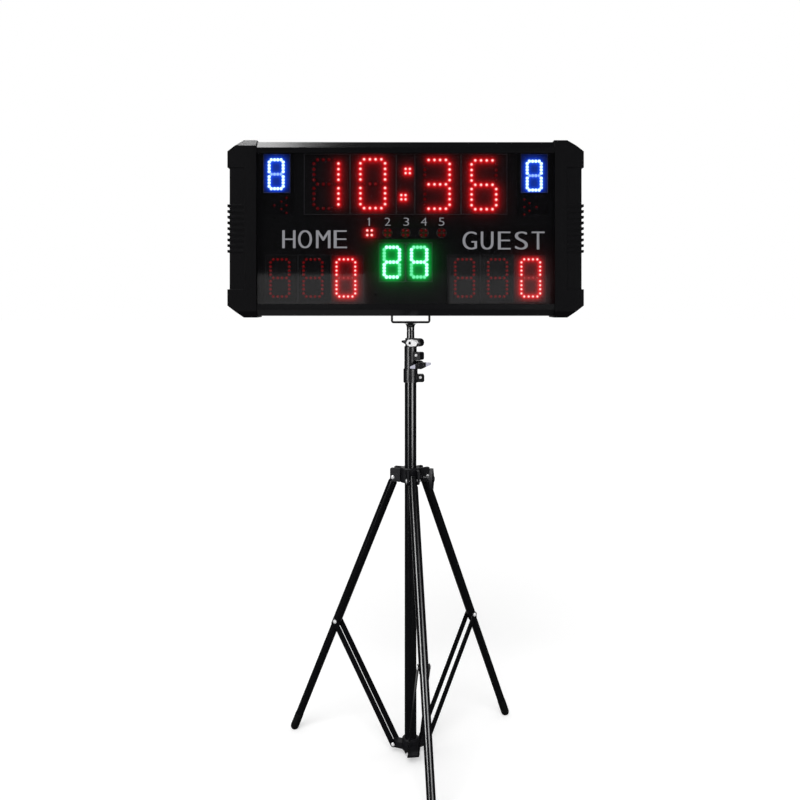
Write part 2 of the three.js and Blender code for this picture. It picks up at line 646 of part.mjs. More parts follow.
function controllerBoard() {
  const base = TRAY_BACK + FIT_GAP;
  const front = base + CONTROLLER_STANDOFF;
  const back = front + CIRCUIT_THICKNESS;
  const halfWidth = CONTROLLER_WIDTH / 2;
  const halfHeight = CONTROLLER_HEIGHT / 2;
  const pieces = [block(-halfWidth, halfWidth, front, back, -halfHeight, halfHeight)];
  for (const x of [-1, 1]) {
    for (const z of [-1, 1]) {
      const postX = x * (halfWidth - CONTROLLER_STANDOFF);
      const postZ = z * (halfHeight - CONTROLLER_STANDOFF);
      pieces.push(rodAlongY(PIN_DIAMETER / 2, base, front + FUSE_DEPTH, postX, postZ, SMALL_SIDES));
    }
  }
  const chip = CONTROLLER_CHIP / 2;
  const chipBack = back + CONTROLLER_CHIP_THICKNESS;
  pieces.push(block(-chip, chip, back - FUSE_DEPTH, chipBack, -chip, chip));
  return join(...pieces);
}

function powerSupply() {
  const back = BACK_PANEL_INNER - FIT_GAP;
  const halfWidth = SUPPLY_WIDTH / 2;
  const halfHeight = SUPPLY_HEIGHT / 2;
  const footHalf = halfWidth + SUPPLY_FOOT;
  const body = block(-halfWidth, halfWidth, back - SUPPLY_THICKNESS, back, -halfHeight, halfHeight);
  const foot = block(-footHalf, footHalf, back - SUPPLY_FOOT_THICKNESS, back, -halfHeight, halfHeight);
  return join(body, foot).translate(SUPPLY_PLACE_X, 0, SUPPLY_PLACE_Z);
}

function buzzer() {
  const back = BACK_PANEL_INNER - FIT_GAP;
  const radius = BUZZER_DIAMETER / 2;
  return join(
    rodAlongY(radius, back - BUZZER_THICKNESS, back, 0, 0),
    rodAlongY(radius + BUZZER_RIM, back - BUZZER_RIM_THICKNESS, back, 0, 0),
  ).translate(BUZZER_PLACE_X, 0, BUZZER_PLACE_Z);
}

// Moulded inlet with a round-cornered socket below and the switch opening above
function powerInlet() {
  const flangeInner = BACK_PANEL_OUTER + FIT_GAP;
  const face = flangeInner + INLET_FLANGE;
  const halfWidth = INLET_WIDTH / 2;
  const halfHeight = INLET_HEIGHT / 2;
  const bodyHalf = halfWidth - INLET_RIM;
  const bodyRise = halfHeight - INLET_RIM;
  const body = join(
    block(-halfWidth, halfWidth, flangeInner, face, -halfHeight, halfHeight),
    block(-bodyHalf, bodyHalf, face - INLET_DEPTH, face - FUSE_DEPTH, -bodyRise, bodyRise));
  const socketHalf = SOCKET_WIDTH / 2;
  const socketRise = SOCKET_HEIGHT / 2;
  const socket = outline([
    [-socketHalf, -SOCKET_DROP + socketRise], [socketHalf, -SOCKET_DROP + socketRise],
    [socketHalf, -SOCKET_DROP - socketRise + SOCKET_CORNER],
    [socketHalf - SOCKET_CORNER, -SOCKET_DROP - socketRise],
    [-socketHalf + SOCKET_CORNER, -SOCKET_DROP - socketRise],
    [-socketHalf, -SOCKET_DROP - socketRise + SOCKET_CORNER],
  ]);
  const socketFloor = face - SOCKET_DEPTH;
  const rockerHalf = ROCKER_WIDTH / 2 + FIT_GAP;
  const rockerRise = ROCKER_LENGTH / 2 + ROCKER_CLEARANCE;
  const rockerFloor = face - ROCKER_THICKNESS - 2 * ROCKER_CLEARANCE;
  const hollow = cut(body,
    extrudeAlongY(socket, socketFloor, face + CUT_OVERRUN),
    block(-rockerHalf, rockerHalf, rockerFloor, face + CUT_OVERRUN,
      ROCKER_RAISE - rockerRise, ROCKER_RAISE + rockerRise));
  const contacts = [-1, 0, 1].map((place) => {
    const x = place * CONTACT_PITCH;
    const z = -SOCKET_DROP + (place === 0 ? -CONTACT_RISE : CONTACT_RISE);
    return block(x - CONTACT_THICKNESS / 2, x + CONTACT_THICKNESS / 2,
      socketFloor - FUSE_DEPTH, socketFloor + CONTACT_LENGTH, z - CONTACT_WIDTH / 2, z + CONTACT_WIDTH / 2);
  });
  return join(hollow, ...contacts).translate(INLET_PLACE_X, 0, INLET_PLACE_Z);
}

// Rocker with a dished face, pressed at its upper end
function powerRocker() {
  const half = ROCKER_LENGTH / 2;
  const front = ROCKER_THICKNESS / 2;
  const section = outline([
    [-front, -half], [front, -half], [front - ROCKER_DISH, 0], [front, half], [-front, half],
  ]);
  const face = BACK_PANEL_OUTER + FIT_GAP + INLET_FLANGE;
  const pivotY = face - front;
  const rocker = extrudeAlongX(section, -ROCKER_WIDTH / 2, ROCKER_WIDTH / 2);
  const relief = block(-ROCKER_WIDTH, ROCKER_WIDTH, -ROCKER_THICKNESS, -front + ROCKER_DISH,
    half - ROCKER_THICKNESS, half + CUT_OVERRUN);
  const lowerRelief = relief.clone().rotateY(Math.PI);
  return cut(rocker, relief, lowerRelief)
    .rotateX(degrees(ROCKER_TILT))
    .translate(INLET_PLACE_X, pivotY, INLET_PLACE_Z + ROCKER_RAISE);
}

// Mount bracket

function mountBracket() {
  const half = BRACKET_WIDTH / 2;
  const inner = half - BRACKET_STRIP;
  const rounding = BRACKET_CORNER - BRACKET_STRIP;
  const section = new THREE.Shape();
  section.moveTo(-half + BRACKET_CORNER, 0);
  section.lineTo(half - BRACKET_CORNER, 0);
  section.absarc(half - BRACKET_CORNER, BRACKET_CORNER, BRACKET_CORNER, -Math.PI / 2, 0, false);
  section.lineTo(half, BRACKET_HEIGHT);
  section.lineTo(inner, BRACKET_HEIGHT);
  section.lineTo(inner, BRACKET_CORNER);
  section.absarc(half - BRACKET_CORNER, BRACKET_CORNER, rounding, 0, -Math.PI / 2, true);
  section.lineTo(-half + BRACKET_CORNER, BRACKET_STRIP);
  section.absarc(-half + BRACKET_CORNER, BRACKET_CORNER, rounding, -Math.PI / 2, -Math.PI, true);
  section.lineTo(-inner, BRACKET_HEIGHT);
  section.lineTo(-half, BRACKET_HEIGHT);
  section.lineTo(-half, BRACKET_CORNER);
  section.absarc(-half + BRACKET_CORNER, BRACKET_CORNER, BRACKET_CORNER, Math.PI, 1.5 * Math.PI, false);
  const strip = extrudeAlongY(section, -BRACKET_DEPTH / 2, BRACKET_DEPTH / 2).translate(0, 0, BRACKET_BASE);
  const holes = [-1, 1].map((side) =>
    rodAlongZ(BOLT_DIAMETER / 2 + PIN_GAP, BOLT_SEAT - BOLT_LENGTH - FIT_GAP,
      BRACKET_BASE + BRACKET_HEIGHT + CUT_OVERRUN, SMALL_SIDES).translate(boltX(side), 0, 0));
  return join(cut(strip, ...holes), bracketNeck());
}

// Flared neck under the plate, and the spigot that turns inside the top tube
function bracketNeck() {
  const tubeRadius = TOP_TUBE_DIAMETER / 2;
  const spigotRadius = tubeRadius - TUBE_WALL - FIT_GAP;
  const seat = TUBE_END_HEIGHT + FIT_GAP;
  const spigotEnd = TUBE_END_HEIGHT - SPIGOT_LENGTH;
  const flare = [];
  for (let step = 0; step <= ARC_STEPS; step += 1) {
    const angle = (step / ARC_STEPS) * Math.PI / 2;
    flare.push([
      NECK_FLARE_RADIUS - (NECK_FLARE_RADIUS - tubeRadius) * Math.cos(angle),
      BRACKET_BASE - NECK_FLARE_HEIGHT + NECK_FLARE_HEIGHT * Math.sin(angle),
    ]);
  }
  return turned([
    [0, spigotEnd], [spigotRadius, spigotEnd], [spigotRadius, seat], [tubeRadius, seat],
    ...flare,
    [NECK_FLARE_RADIUS, BRACKET_BASE + FUSE_DEPTH], [0, BRACKET_BASE + FUSE_DEPTH],
  ].filter(([radius, height], index, all) => index === 0
    || radius !== all[index - 1][0] || height !== all[index - 1][1]));
}

// Its head lies inside the rail, its end is screwed into the top of the bracket's arm
function bracketBolt(side) {
  return join(
    rodAlongZ(BOLT_HEAD_DIAMETER / 2, BOLT_SEAT, BOLT_SEAT + BOLT_HEAD_HEIGHT, SMALL_SIDES),
    rodAlongZ(BOLT_DIAMETER / 2, BOLT_SEAT - BOLT_LENGTH, BOLT_SEAT + FUSE_DEPTH, SMALL_SIDES),
  ).translate(boltX(side), 0, 0);
}

// Mast

// Split clamp: the lower collar grips the wide tube, the upper one the sliding tube.
// Its ears point along +X, the wing screw's hole runs along Y in the upper ears.
function splitClamp(lowerTubeDiameter, upperTubeDiameter) {
  const lowerBore = lowerTubeDiameter / 2 + FIT_GAP;
  const upperBore = upperTubeDiameter / 2 + FIT_GAP;
  const lowerOuter = lowerTubeDiameter / 2 + CLAMP_WALL;
  const upperOuter = lowerTubeDiameter / 2 + CLAMP_SHOULDER_WALL - CLAMP_FLANGE;
  const shoulder = CLAMP_SHOULDER;
  const collar = turned([
    [lowerBore, 0], [lowerOuter, 0], [lowerOuter, shoulder], [upperOuter, shoulder + CLAMP_FLANGE],
    [upperOuter, CLAMP_HEIGHT], [upperBore, CLAMP_HEIGHT], [upperBore, shoulder], [lowerBore, shoulder],
    [lowerBore, 0],
  ]);
  const halfThickness = EAR_THICKNESS / 2;
  const upperZ = CLAMP_HEIGHT - EAR_UPPER_RADIUS;
  const lowerZ = EAR_LOWER_HALF + EAR_EDGE;
  const root = upperBore + CLAMP_WALL / 2;
  const ears = [
    rodAlongY(EAR_UPPER_RADIUS, -halfThickness, halfThickness, EAR_OFFSET, upperZ, SMALL_SIDES),
    block(root, EAR_OFFSET, -halfThickness, halfThickness, upperZ - EAR_UPPER_RADIUS, upperZ + EAR_UPPER_RADIUS),
    extrudeAlongY(roundedLug(root, EAR_OFFSET + EAR_LOWER_HALF, lowerZ, EAR_LOWER_HALF, EAR_LOWER_CORNER),
      -halfThickness, halfThickness),
  ];
  const reach = EAR_OFFSET + EAR_UPPER_RADIUS + CUT_OVERRUN;
  const tools = [
    rodAlongZ(lowerBore, -CUT_OVERRUN, shoulder),
    rodAlongZ(upperBore, 0, CLAMP_HEIGHT + CUT_OVERRUN),
    block(0, reach, -EAR_SLIT / 2, EAR_SLIT / 2, -CUT_OVERRUN, CLAMP_HEIGHT + CUT_OVERRUN),
    rodAlongY(WING_STEM_DIAMETER / 2 + PIN_GAP, -halfThickness - CUT_OVERRUN, halfThickness + CUT_OVERRUN,
      EAR_OFFSET, upperZ, SMALL_SIDES),
  ];
  const pinchHead = PINCH_HEAD_DIAMETER / 2;
  const pinchEnd = halfThickness + PINCH_HEAD_HEIGHT;
  const pinchZ = lowerZ + PINCH_RISE;
  const pinchBolt = [
    rodAlongY(pinchHead, -pinchEnd, -halfThickness + FUSE_DEPTH, EAR_OFFSET, pinchZ, SMALL_SIDES),
    rodAlongY(pinchHead / 2, -halfThickness, halfThickness, EAR_OFFSET, pinchZ, SMALL_SIDES),
    rodAlongY(pinchHead, halfThickness - FUSE_DEPTH, pinchEnd, EAR_OFFSET, pinchZ, SMALL_SIDES),
  ];
  return join(cut(join(collar, ...ears), ...tools), ...pinchBolt);
}

// A lug's side face in X and Z with two rounded corners at its outer end
function roundedLug(root, reach, middle, half, corner) {
  const shape = new THREE.Shape();
  shape.moveTo(root, middle - half);
  shape.lineTo(reach - corner, middle - half);
  shape.absarc(reach - corner, middle - half + corner, corner, -Math.PI / 2, 0, false);
  shape.lineTo(reach, middle + half - corner);
  shape.absarc(reach - corner, middle + half - corner, corner, 0, Math.PI / 2, false);
  shape.lineTo(root, middle + half);
  return shape;
}

// Wing screw along Y with its wing at the -Y end and its stem's seat plane at zero
function wingScrew(stemLength) {
  const half = WING_SPAN / 2;
  const centre = WING_CENTRE_WIDTH / 2;
  const tip = WING_TIP_WIDTH / 2;
  const wing = outline([
    [-half, -tip], [0, -centre], [half, -tip], [half, tip], [0, centre], [-half, tip],
  ]);
  const back = -WING_STAND_OFF;
  const front = back - WING_BOSS_LENGTH;
  return join(
    rodAlongY(WING_STEM_DIAMETER / 2, back - FUSE_DEPTH, stemLength, 0, 0, SMALL_SIDES),
    rodAlongY(WING_BOSS_DIAMETER / 2, front, back, 0, 0, SMALL_SIDES),
    extrudeAlongY(wing, front + WING_STAND_OFF, front + WING_STAND_OFF + WING_THICKNESS));
}

function clampScrew(turn) {
  return wingScrew(EAR_THICKNESS)
    .rotateY(degrees(-turn))
    .translate(EAR_OFFSET, -EAR_THICKNESS / 2, CLAMP_HEIGHT - EAR_UPPER_RADIUS);
}

// Tripod

function legSpoke(index) {
  return degrees(FRONT_AZIMUTH + index * 360 / LEG_NAMES.length);
}

function fromHub(geometry, angle) {
  return geometry.rotateZ(angle);
}

// One leg in its own plane: it leans towards -Y from the collar pivot
function legTube() {
  const radius = LEG_DIAMETER / 2;
  const end = FOOT_DISTANCE - FOOT_FLOOR;
  const bore = radius - LEG_WALL;
  const body = join(
    rodAlongZ(radius, -end, LEG_TOP),
    rodAlongZ(KNEE_SLEEVE_DIAMETER / 2, -KNEE_DISTANCE - KNEE_SLEEVE_LENGTH / 2,
      -KNEE_DISTANCE + KNEE_SLEEVE_LENGTH / 2));
  const pinHole = rodAlongX(PIN_DIAMETER / 2 + PIN_GAP, -LEG_DIAMETER, LEG_DIAMETER, 0, 0, SMALL_SIDES);
  return leaning(cut(body, rodAlongZ(bore, -end - CUT_OVERRUN, LEG_TOP + CUT_OVERRUN), pinHole));
}

function leaning(geometry) {
  return geometry.rotateX(-LEG_TILT).translate(0, -PIVOT_RADIUS, COLLAR_PIVOT_HEIGHT);
}

// Rubber foot with a socket for the leg and a flat pad worn parallel to the floor
function rubberFoot() {
  const radius = FOOT_DIAMETER / 2;
  const dome = [];
  for (let step = 0; step <= ARC_STEPS; step += 1) {
    const angle = (step / ARC_STEPS) * Math.PI / 2;
    dome.push([radius * Math.sin(angle), -radius * Math.cos(angle)]);
  }
  const socket = LEG_DIAMETER / 2 + FIT_GAP / 2;
  const socketFloor = FOOT_FLOOR - FIT_GAP;
  const blank = turned([
    ...dome, [radius, FOOT_LENGTH], [socket, FOOT_LENGTH], [socket, socketFloor], [0, socketFloor],
  ], ROUND_SIDES).translate(0, 0, -FOOT_DISTANCE);
  const spread = PIVOT_RADIUS + FOOT_DISTANCE;
  const floor = block(-spread, spread, -2 * spread, spread, -FLOOR_CLEARANCE - FOOT_LENGTH, -FLOOR_CLEARANCE);
  return cut(leaning(blank), floor);
}

// One of the two flat bars of a strut, on the given side of the leg
function strutBar(side) {
  const near = STRUT_INNER_HALF;
  const far = near + STRUT_THICKNESS;
  const bar = extrudeAlongX(stadium(STRUT_LENGTH, STRUT_WIDTH / 2), near, far);
  const hole = rodAlongX(PIN_DIAMETER / 2 + PIN_GAP, near - CUT_OVERRUN, far + CUT_OVERRUN, 0, 0, SMALL_SIDES);
  const rivet = turned([
    [0, -FUSE_DEPTH], [RIVET_DIAMETER / 2, -FUSE_DEPTH], [RIVET_DIAMETER / 2, RIVET_HEIGHT / 3],
    [RIVET_DIAMETER / 4, RIVET_HEIGHT], [0, RIVET_HEIGHT],
  ], SMALL_SIDES).rotateY(Math.PI / 2).translate(far, 0, STRUT_LENGTH);
  const whole = join(cut(bar, hole), rivet);
  const turnedBar = side < 0 ? whole.rotateZ(Math.PI) : whole;
  return turnedBar.rotateX(STRUT_TILT).translate(0, -PIVOT_RADIUS, HUB_PIVOT_HEIGHT);
}

function collarPin() {
  const halfGrip = COLLAR_EAR_HALF + COLLAR_EAR_THICKNESS + PIN_GAP;
  return headedPin(halfGrip, RIVET_DIAMETER / 2).translate(0, -PIVOT_RADIUS, COLLAR_PIVOT_HEIGHT);
}

function hubPin() {
  const halfGrip = STRUT_INNER_HALF + STRUT_THICKNESS + PIN_GAP;
  return headedPin(halfGrip, RIVET_DIAMETER / 2).translate(0, -PIVOT_RADIUS, HUB_PIVOT_HEIGHT);
}

// A lug's side face in Y and Z, from the mast to past the pivot
function lugFace(root, radius, height) {
  const shape = new THREE.Shape();
  shape.moveTo(-root, height + radius);
  shape.lineTo(-PIVOT_RADIUS, height + radius);
  shape.absarc(-PIVOT_RADIUS, height, radius, Math.PI / 2, 1.5 * Math.PI, false);
  shape.lineTo(-root, height - radius);
  return shape;
}

// A collar ear's side face in Y and Z: flat on top, with a corner cut for the leg below the pivot
function earFace(root) {
  const end = -PIVOT_RADIUS - COLLAR_EAR_REACH;
  const top = COLLAR_BASE + COLLAR_HEIGHT - COLLAR_CHAMFER;
  const shape = new THREE.Shape();
  shape.moveTo(-root, top);
  shape.lineTo(end + COLLAR_EAR_CORNER, top);
  shape.absarc(end + COLLAR_EAR_CORNER, top - COLLAR_EAR_CORNER, COLLAR_EAR_CORNER,
    Math.PI / 2, Math.PI, false);
  shape.lineTo(end, COLLAR_PIVOT_HEIGHT - COLLAR_EAR_CORNER);
  shape.lineTo(end + COLLAR_EAR_REACH, COLLAR_BASE);
  shape.lineTo(-root, COLLAR_BASE);
  return shape;
}

function legCollar() {
  const bore = MAIN_TUBE_DIAMETER / 2 + COLLAR_RUN_GAP;
  const top = COLLAR_BASE + COLLAR_HEIGHT;
  const root = COLLAR_RADIUS - CLAMP_WALL;
  const ring = turned([
    [bore, COLLAR_BASE], [COLLAR_RADIUS, COLLAR_BASE], [COLLAR_RADIUS, top - COLLAR_CHAMFER],
    [COLLAR_RADIUS - COLLAR_CHAMFER, top], [bore, top], [bore, COLLAR_BASE],
  ]);
  const pieces = [ring];
  const holes = [];
  LEG_NAMES.forEach((name, index) => {
    const angle = legSpoke(index);
    for (const side of [-1, 1]) {
      const inner = side * COLLAR_EAR_HALF;
      const outer = side * (COLLAR_EAR_HALF + COLLAR_EAR_THICKNESS);
      const ear = extrudeAlongX(earFace(root), Math.min(inner, outer), Math.max(inner, outer));
      pieces.push(fromHub(ear, angle));
    }
    const reach = COLLAR_EAR_HALF + COLLAR_EAR_THICKNESS + CUT_OVERRUN;
    const hole = rodAlongX(PIN_DIAMETER / 2 + PIN_GAP, -reach, reach, -PIVOT_RADIUS, COLLAR_PIVOT_HEIGHT,
      SMALL_SIDES);
    holes.push(fromHub(hole, angle));
  });
  const wingAngle = degrees(COLLAR_WING_AZIMUTH);
  const boss = rodAlongY(COLLAR_BOSS_DIAMETER / 2, -COLLAR_BOSS_REACH, -root, 0, COLLAR_PIVOT_HEIGHT, SMALL_SIDES);
  pieces.push(fromHub(boss, wingAngle));
  const bossHole = rodAlongY(WING_STEM_DIAMETER / 2 + PIN_GAP, -COLLAR_BOSS_REACH - CUT_OVERRUN, 0, 0,
    COLLAR_PIVOT_HEIGHT, SMALL_SIDES);
  holes.push(fromHub(bossHole, wingAngle));
  return cut(join(...pieces), ...holes);
}

function collarScrew() {
  const stem = COLLAR_BOSS_REACH - MAIN_TUBE_DIAMETER / 2 - FIT_GAP;
  const screw = wingScrew(stem)
    .rotateY(degrees(COLLAR_WING_TURN))
    .translate(0, -COLLAR_BOSS_REACH, COLLAR_PIVOT_HEIGHT);
  return fromHub(screw, degrees(COLLAR_WING_AZIMUTH));
}

function baseHub() {
  const floor = FOOT_CAP_HEIGHT + FIT_GAP;
  const bore = MAIN_TUBE_DIAMETER / 2 + FIT_GAP;
  const studBore = FOOT_CAP_STUD_RADIUS + FIT_GAP;
  const barrel = turned([
    [studBore, floor], [HUB_RADIUS, floor], [HUB_RADIUS, HUB_TOP - HUB_CHAMFER],
    [HUB_RADIUS - HUB_CHAMFER, HUB_TOP], [bore, HUB_TOP], [bore, MAST_SEAT], [studBore, MAST_SEAT],
    [studBore, floor],
  ]);
  const lugHalf = STRUT_INNER_HALF - FIT_GAP;
  const root = MAIN_TUBE_DIAMETER / 2 + CLAMP_WALL;
  const lugs = LEG_NAMES.map((name, index) =>
    fromHub(extrudeAlongX(lugFace(root, STRUT_WIDTH / 2, HUB_PIVOT_HEIGHT), -lugHalf, lugHalf), legSpoke(index)));
  const reach = lugHalf + CUT_OVERRUN;
  const holes = LEG_NAMES.map((name, index) =>
    fromHub(rodAlongX(PIN_DIAMETER / 2 + PIN_GAP, -reach, reach, -PIVOT_RADIUS, HUB_PIVOT_HEIGHT, SMALL_SIDES),
      legSpoke(index)));
  return cut(join(barrel, ...lugs), ...holes);
}

function footCap() {
  const round = [];
  for (let step = 0; step <= ARC_STEPS; step += 1) {
    const angle = (step / ARC_STEPS) * Math.PI / 2;
    round.push([
      FOOT_CAP_RADIUS - FOOT_CAP_ROUND + FOOT_CAP_ROUND * Math.sin(angle),
      FOOT_CAP_ROUND - FOOT_CAP_ROUND * Math.cos(angle),
    ]);
  }
  return turned([
    [0, 0], ...round, [FOOT_CAP_RADIUS, FOOT_CAP_HEIGHT], [FOOT_CAP_STUD_RADIUS, FOOT_CAP_HEIGHT],
    [FOOT_CAP_STUD_RADIUS, FOOT_CAP_HEIGHT + FOOT_CAP_STUD_LENGTH],
    [0, FOOT_CAP_HEIGHT + FOOT_CAP_STUD_LENGTH],
  ]);
}

// Assembly

function displayModules() {
  const modules = [];
  const timerPlaces = [-TIMER_OUTER_X, -TIMER_INNER_X, TIMER_INNER_X, TIMER_OUTER_X];
  timerPlaces.forEach((x, index) => {
    const digit = digitModule(TIMER_WIDTH, TIMER_HEIGHT, TIMER_COLUMN_PITCH, TIMER_ROW_PITCH);
    modules.push(part(`timer_digit_${index + 1}`, digit.translate(x, 0, TIMER_Z), RED_LIGHTS));
  });
  modules.push(part('timer_colon', colonModule().translate(0, 0, TIMER_Z), RED_LIGHTS));
  modules.push(part('home_foul_module', foulModule(-1).translate(-FOUL_X, 0, TIMER_Z), BLUE_LIGHTS));
  modules.push(part('guest_foul_module', foulModule(1).translate(FOUL_X, 0, TIMER_Z), BLUE_LIGHTS));
  modules.push(part('period_module', periodModule().translate(0, 0, PERIOD_Z), CIRCUIT_BLACK));
  [-SHOT_X, SHOT_X].forEach((x, index) => {
    const digit = digitModule(SHOT_WIDTH, SHOT_HEIGHT, SHOT_COLUMN_PITCH, SHOT_ROW_PITCH);
    modules.push(part(`shot_digit_${index + 1}`, digit.translate(x, 0, SHOT_Z), GREEN_LIGHTS));
  });
  for (let index = 0; index < 3; index += 1) {
    const homeX = -SCORE_INNER_X - (2 - index) * SCORE_PITCH;
    const guestX = SCORE_INNER_X + index * SCORE_PITCH;
    const score = () => digitModule(SCORE_WIDTH, SCORE_HEIGHT, SCORE_COLUMN_PITCH, SCORE_ROW_PITCH);
    modules.push(part(`home_score_digit_${index + 1}`, score().translate(homeX, 0, SCORE_Z), RED_LIGHTS));
    modules.push(part(`guest_score_digit_${index + 1}`, score().translate(guestX, 0, SCORE_Z), RED_LIGHTS));
  }
  return modules;
}

function displayBoard() {
  return groupOf([
    part('left_end_cap', endCap(-1), BLACK_ABS),
    part('right_end_cap', endCap(1), BLACK_ABS),
    part('top_rail', rail(1), BLACK_ALUMINIUM),
    part('bottom_rail', bottomRail(), BLACK_ALUMINIUM),
    part('front_panel', frontPanel(), DARK_ACRYLIC),
    part('back_panel', backPanel(), BLACK_ALUMINIUM),
    part('module_tray', moduleTray(), BARE_METAL),
    part('controller_board', controllerBoard(), CIRCUIT_GREEN),
    part('power_supply', powerSupply(), BARE_METAL),
    part('buzzer', buzzer(), BLACK_NYLON),
    part('power_inlet', powerInlet(), BLACK_NYLON),
    part('power_rocker', powerRocker(), BLACK_NYLON),
    ...displayModules(),
  ], { x: BOARD_OFFSET_X, z: BOARD_CENTRE_Z });
}

function mastParts() {
  const mainRadius = MAIN_TUBE_DIAMETER / 2;
  const middleRadius = MIDDLE_TUBE_DIAMETER / 2;
  const topRadius = TOP_TUBE_DIAMETER / 2;
  return [
    part('main_tube', tube(mainRadius, mainRadius - TUBE_WALL, MAST_SEAT + FIT_GAP, MAIN_TUBE_TOP), BLACK_PAINT),
    part('middle_tube', tube(middleRadius, middleRadius - TUBE_WALL,
      MIDDLE_TUBE_TOP - MIDDLE_TUBE_LENGTH, MIDDLE_TUBE_TOP), BLACK_PAINT),
    part('top_tube', tube(topRadius, topRadius - TUBE_WALL,
      TUBE_END_HEIGHT - TOP_TUBE_LENGTH, TUBE_END_HEIGHT), BLACK_PAINT),
    groupOf([
      part('lower_clamp', splitClamp(MAIN_TUBE_DIAMETER, MIDDLE_TUBE_DIAMETER), BLACK_NYLON),
      part('lower_wing_screw', clampScrew(LOWER_WING_TURN), BRIGHT_STEEL),
    ], { z: LOWER_CLAMP_BASE, turn: degrees(LOWER_CLAMP_AZIMUTH) - Math.PI / 2 }),
    groupOf([
      part('upper_clamp', splitClamp(MIDDLE_TUBE_DIAMETER, TOP_TUBE_DIAMETER), BLACK_NYLON),
      part('upper_wing_screw', clampScrew(UPPER_WING_TURN), BRIGHT_STEEL),
    ], { z: UPPER_CLAMP_BASE, turn: degrees(UPPER_CLAMP_AZIMUTH) - Math.PI / 2 }),
    part('mount_bracket', mountBracket(), BLACK_PAINT),
    part('left_bracket_bolt', bracketBolt(-1), BRIGHT_STEEL),
    part('right_bracket_bolt', bracketBolt(1), BRIGHT_STEEL),
  ];
}

function tripodParts() {
  const legs = LEG_NAMES.map((name, index) => groupOf([
    part(`${name}_leg`, legTube(), BLACK_PAINT),
    part(`${name}_foot`, rubberFoot(), BLACK_RUBBER),
    part(`${name}_strut_bar_a`, strutBar(-1), BLACK_PAINT),
    part(`${name}_strut_bar_b`, strutBar(1), BLACK_PAINT),
    part(`${name}_collar_pin`, collarPin(), BRIGHT_STEEL),
    part(`${name}_hub_pin`, hubPin(), BRIGHT_STEEL),
  ], { turn: legSpoke(index) }));
  return [
    part('leg_collar', legCollar(), BLACK_NYLON),
    part('collar_wing_screw', collarScrew(), BLACK_NYLON),
    part('base_hub', baseHub(), BLACK_NYLON),
    part('foot_cap', footCap(), BLACK_RUBBER),
    ...legs,
  ];
}

const scoreboard = groupOf([displayBoard(), ...mastParts(), ...tripodParts()]);

export default scoreboard;
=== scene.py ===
# Looks of an electronic sports scoreboard on a folding tripod stand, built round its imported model.
# Metres, +Z up, the display faces -Y, and the origin is under the middle of the mast.
import json
import math

import bpy
import numpy as np
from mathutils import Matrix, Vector

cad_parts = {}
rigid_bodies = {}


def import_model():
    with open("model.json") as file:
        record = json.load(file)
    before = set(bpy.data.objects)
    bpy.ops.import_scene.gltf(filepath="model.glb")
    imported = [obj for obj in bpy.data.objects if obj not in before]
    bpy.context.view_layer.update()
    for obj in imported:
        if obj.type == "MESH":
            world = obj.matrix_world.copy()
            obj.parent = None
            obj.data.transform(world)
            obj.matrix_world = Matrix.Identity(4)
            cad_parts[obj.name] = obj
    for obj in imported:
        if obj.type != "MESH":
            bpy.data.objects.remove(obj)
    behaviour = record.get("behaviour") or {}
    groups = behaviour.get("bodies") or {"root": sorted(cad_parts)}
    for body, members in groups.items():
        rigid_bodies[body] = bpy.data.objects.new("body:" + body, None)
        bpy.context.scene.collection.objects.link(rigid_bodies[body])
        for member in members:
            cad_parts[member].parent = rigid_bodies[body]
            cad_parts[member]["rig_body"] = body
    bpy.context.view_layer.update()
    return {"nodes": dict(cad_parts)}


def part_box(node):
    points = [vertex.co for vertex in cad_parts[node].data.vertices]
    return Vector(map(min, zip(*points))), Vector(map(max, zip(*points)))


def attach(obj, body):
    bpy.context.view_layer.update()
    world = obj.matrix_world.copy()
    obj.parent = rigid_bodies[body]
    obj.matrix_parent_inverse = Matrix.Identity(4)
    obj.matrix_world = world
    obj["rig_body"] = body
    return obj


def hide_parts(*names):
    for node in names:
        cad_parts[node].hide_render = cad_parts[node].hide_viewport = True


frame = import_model()
nodes = frame["nodes"]
bpy.ops.object.select_all(action="DESELECT")
scene = bpy.context.scene
scene.view_settings.view_transform = "Standard"


# --- Camera. It stands level, 1.07 m above the ground and about 2 m in front of the display.
# The view is shifted down, so that the legs of the stand come into the square picture.
bpy.ops.object.camera_add(location=(-0.025, -1.986, 1.073), rotation=(math.radians(90), 0, 0))
camera = bpy.context.object
camera.data.lens = 37.71
camera.data.sensor_width = 36
camera.data.shift_y = -0.125
scene.camera = camera


# --- Studio. The room is white behind the stand and dim behind the camera, as round a white sweep.
# Soft boxes stand to the left, to the right and above.
# Faint cards show as reflections in the display and under the lower rail.
def add_node(tree, kind, **values):
    """Adds a node and sets its inputs; a space in an input's name is written as an underscore."""
    made = tree.nodes.new(kind)
    for name, value in values.items():
        made.inputs[name.replace("_", " ")].default_value = value
    return made


def add_math(tree, operation, first, second):
    """Adds a Math node on two sockets or numbers and returns its output."""
    made = tree.nodes.new("ShaderNodeMath")
    made.operation = operation
    for socket, value in zip(made.inputs, (first, second)):
        if isinstance(value, bpy.types.NodeSocket):
            tree.links.new(value, socket)
        else:
            socket.default_value = value
    return made.outputs[0]


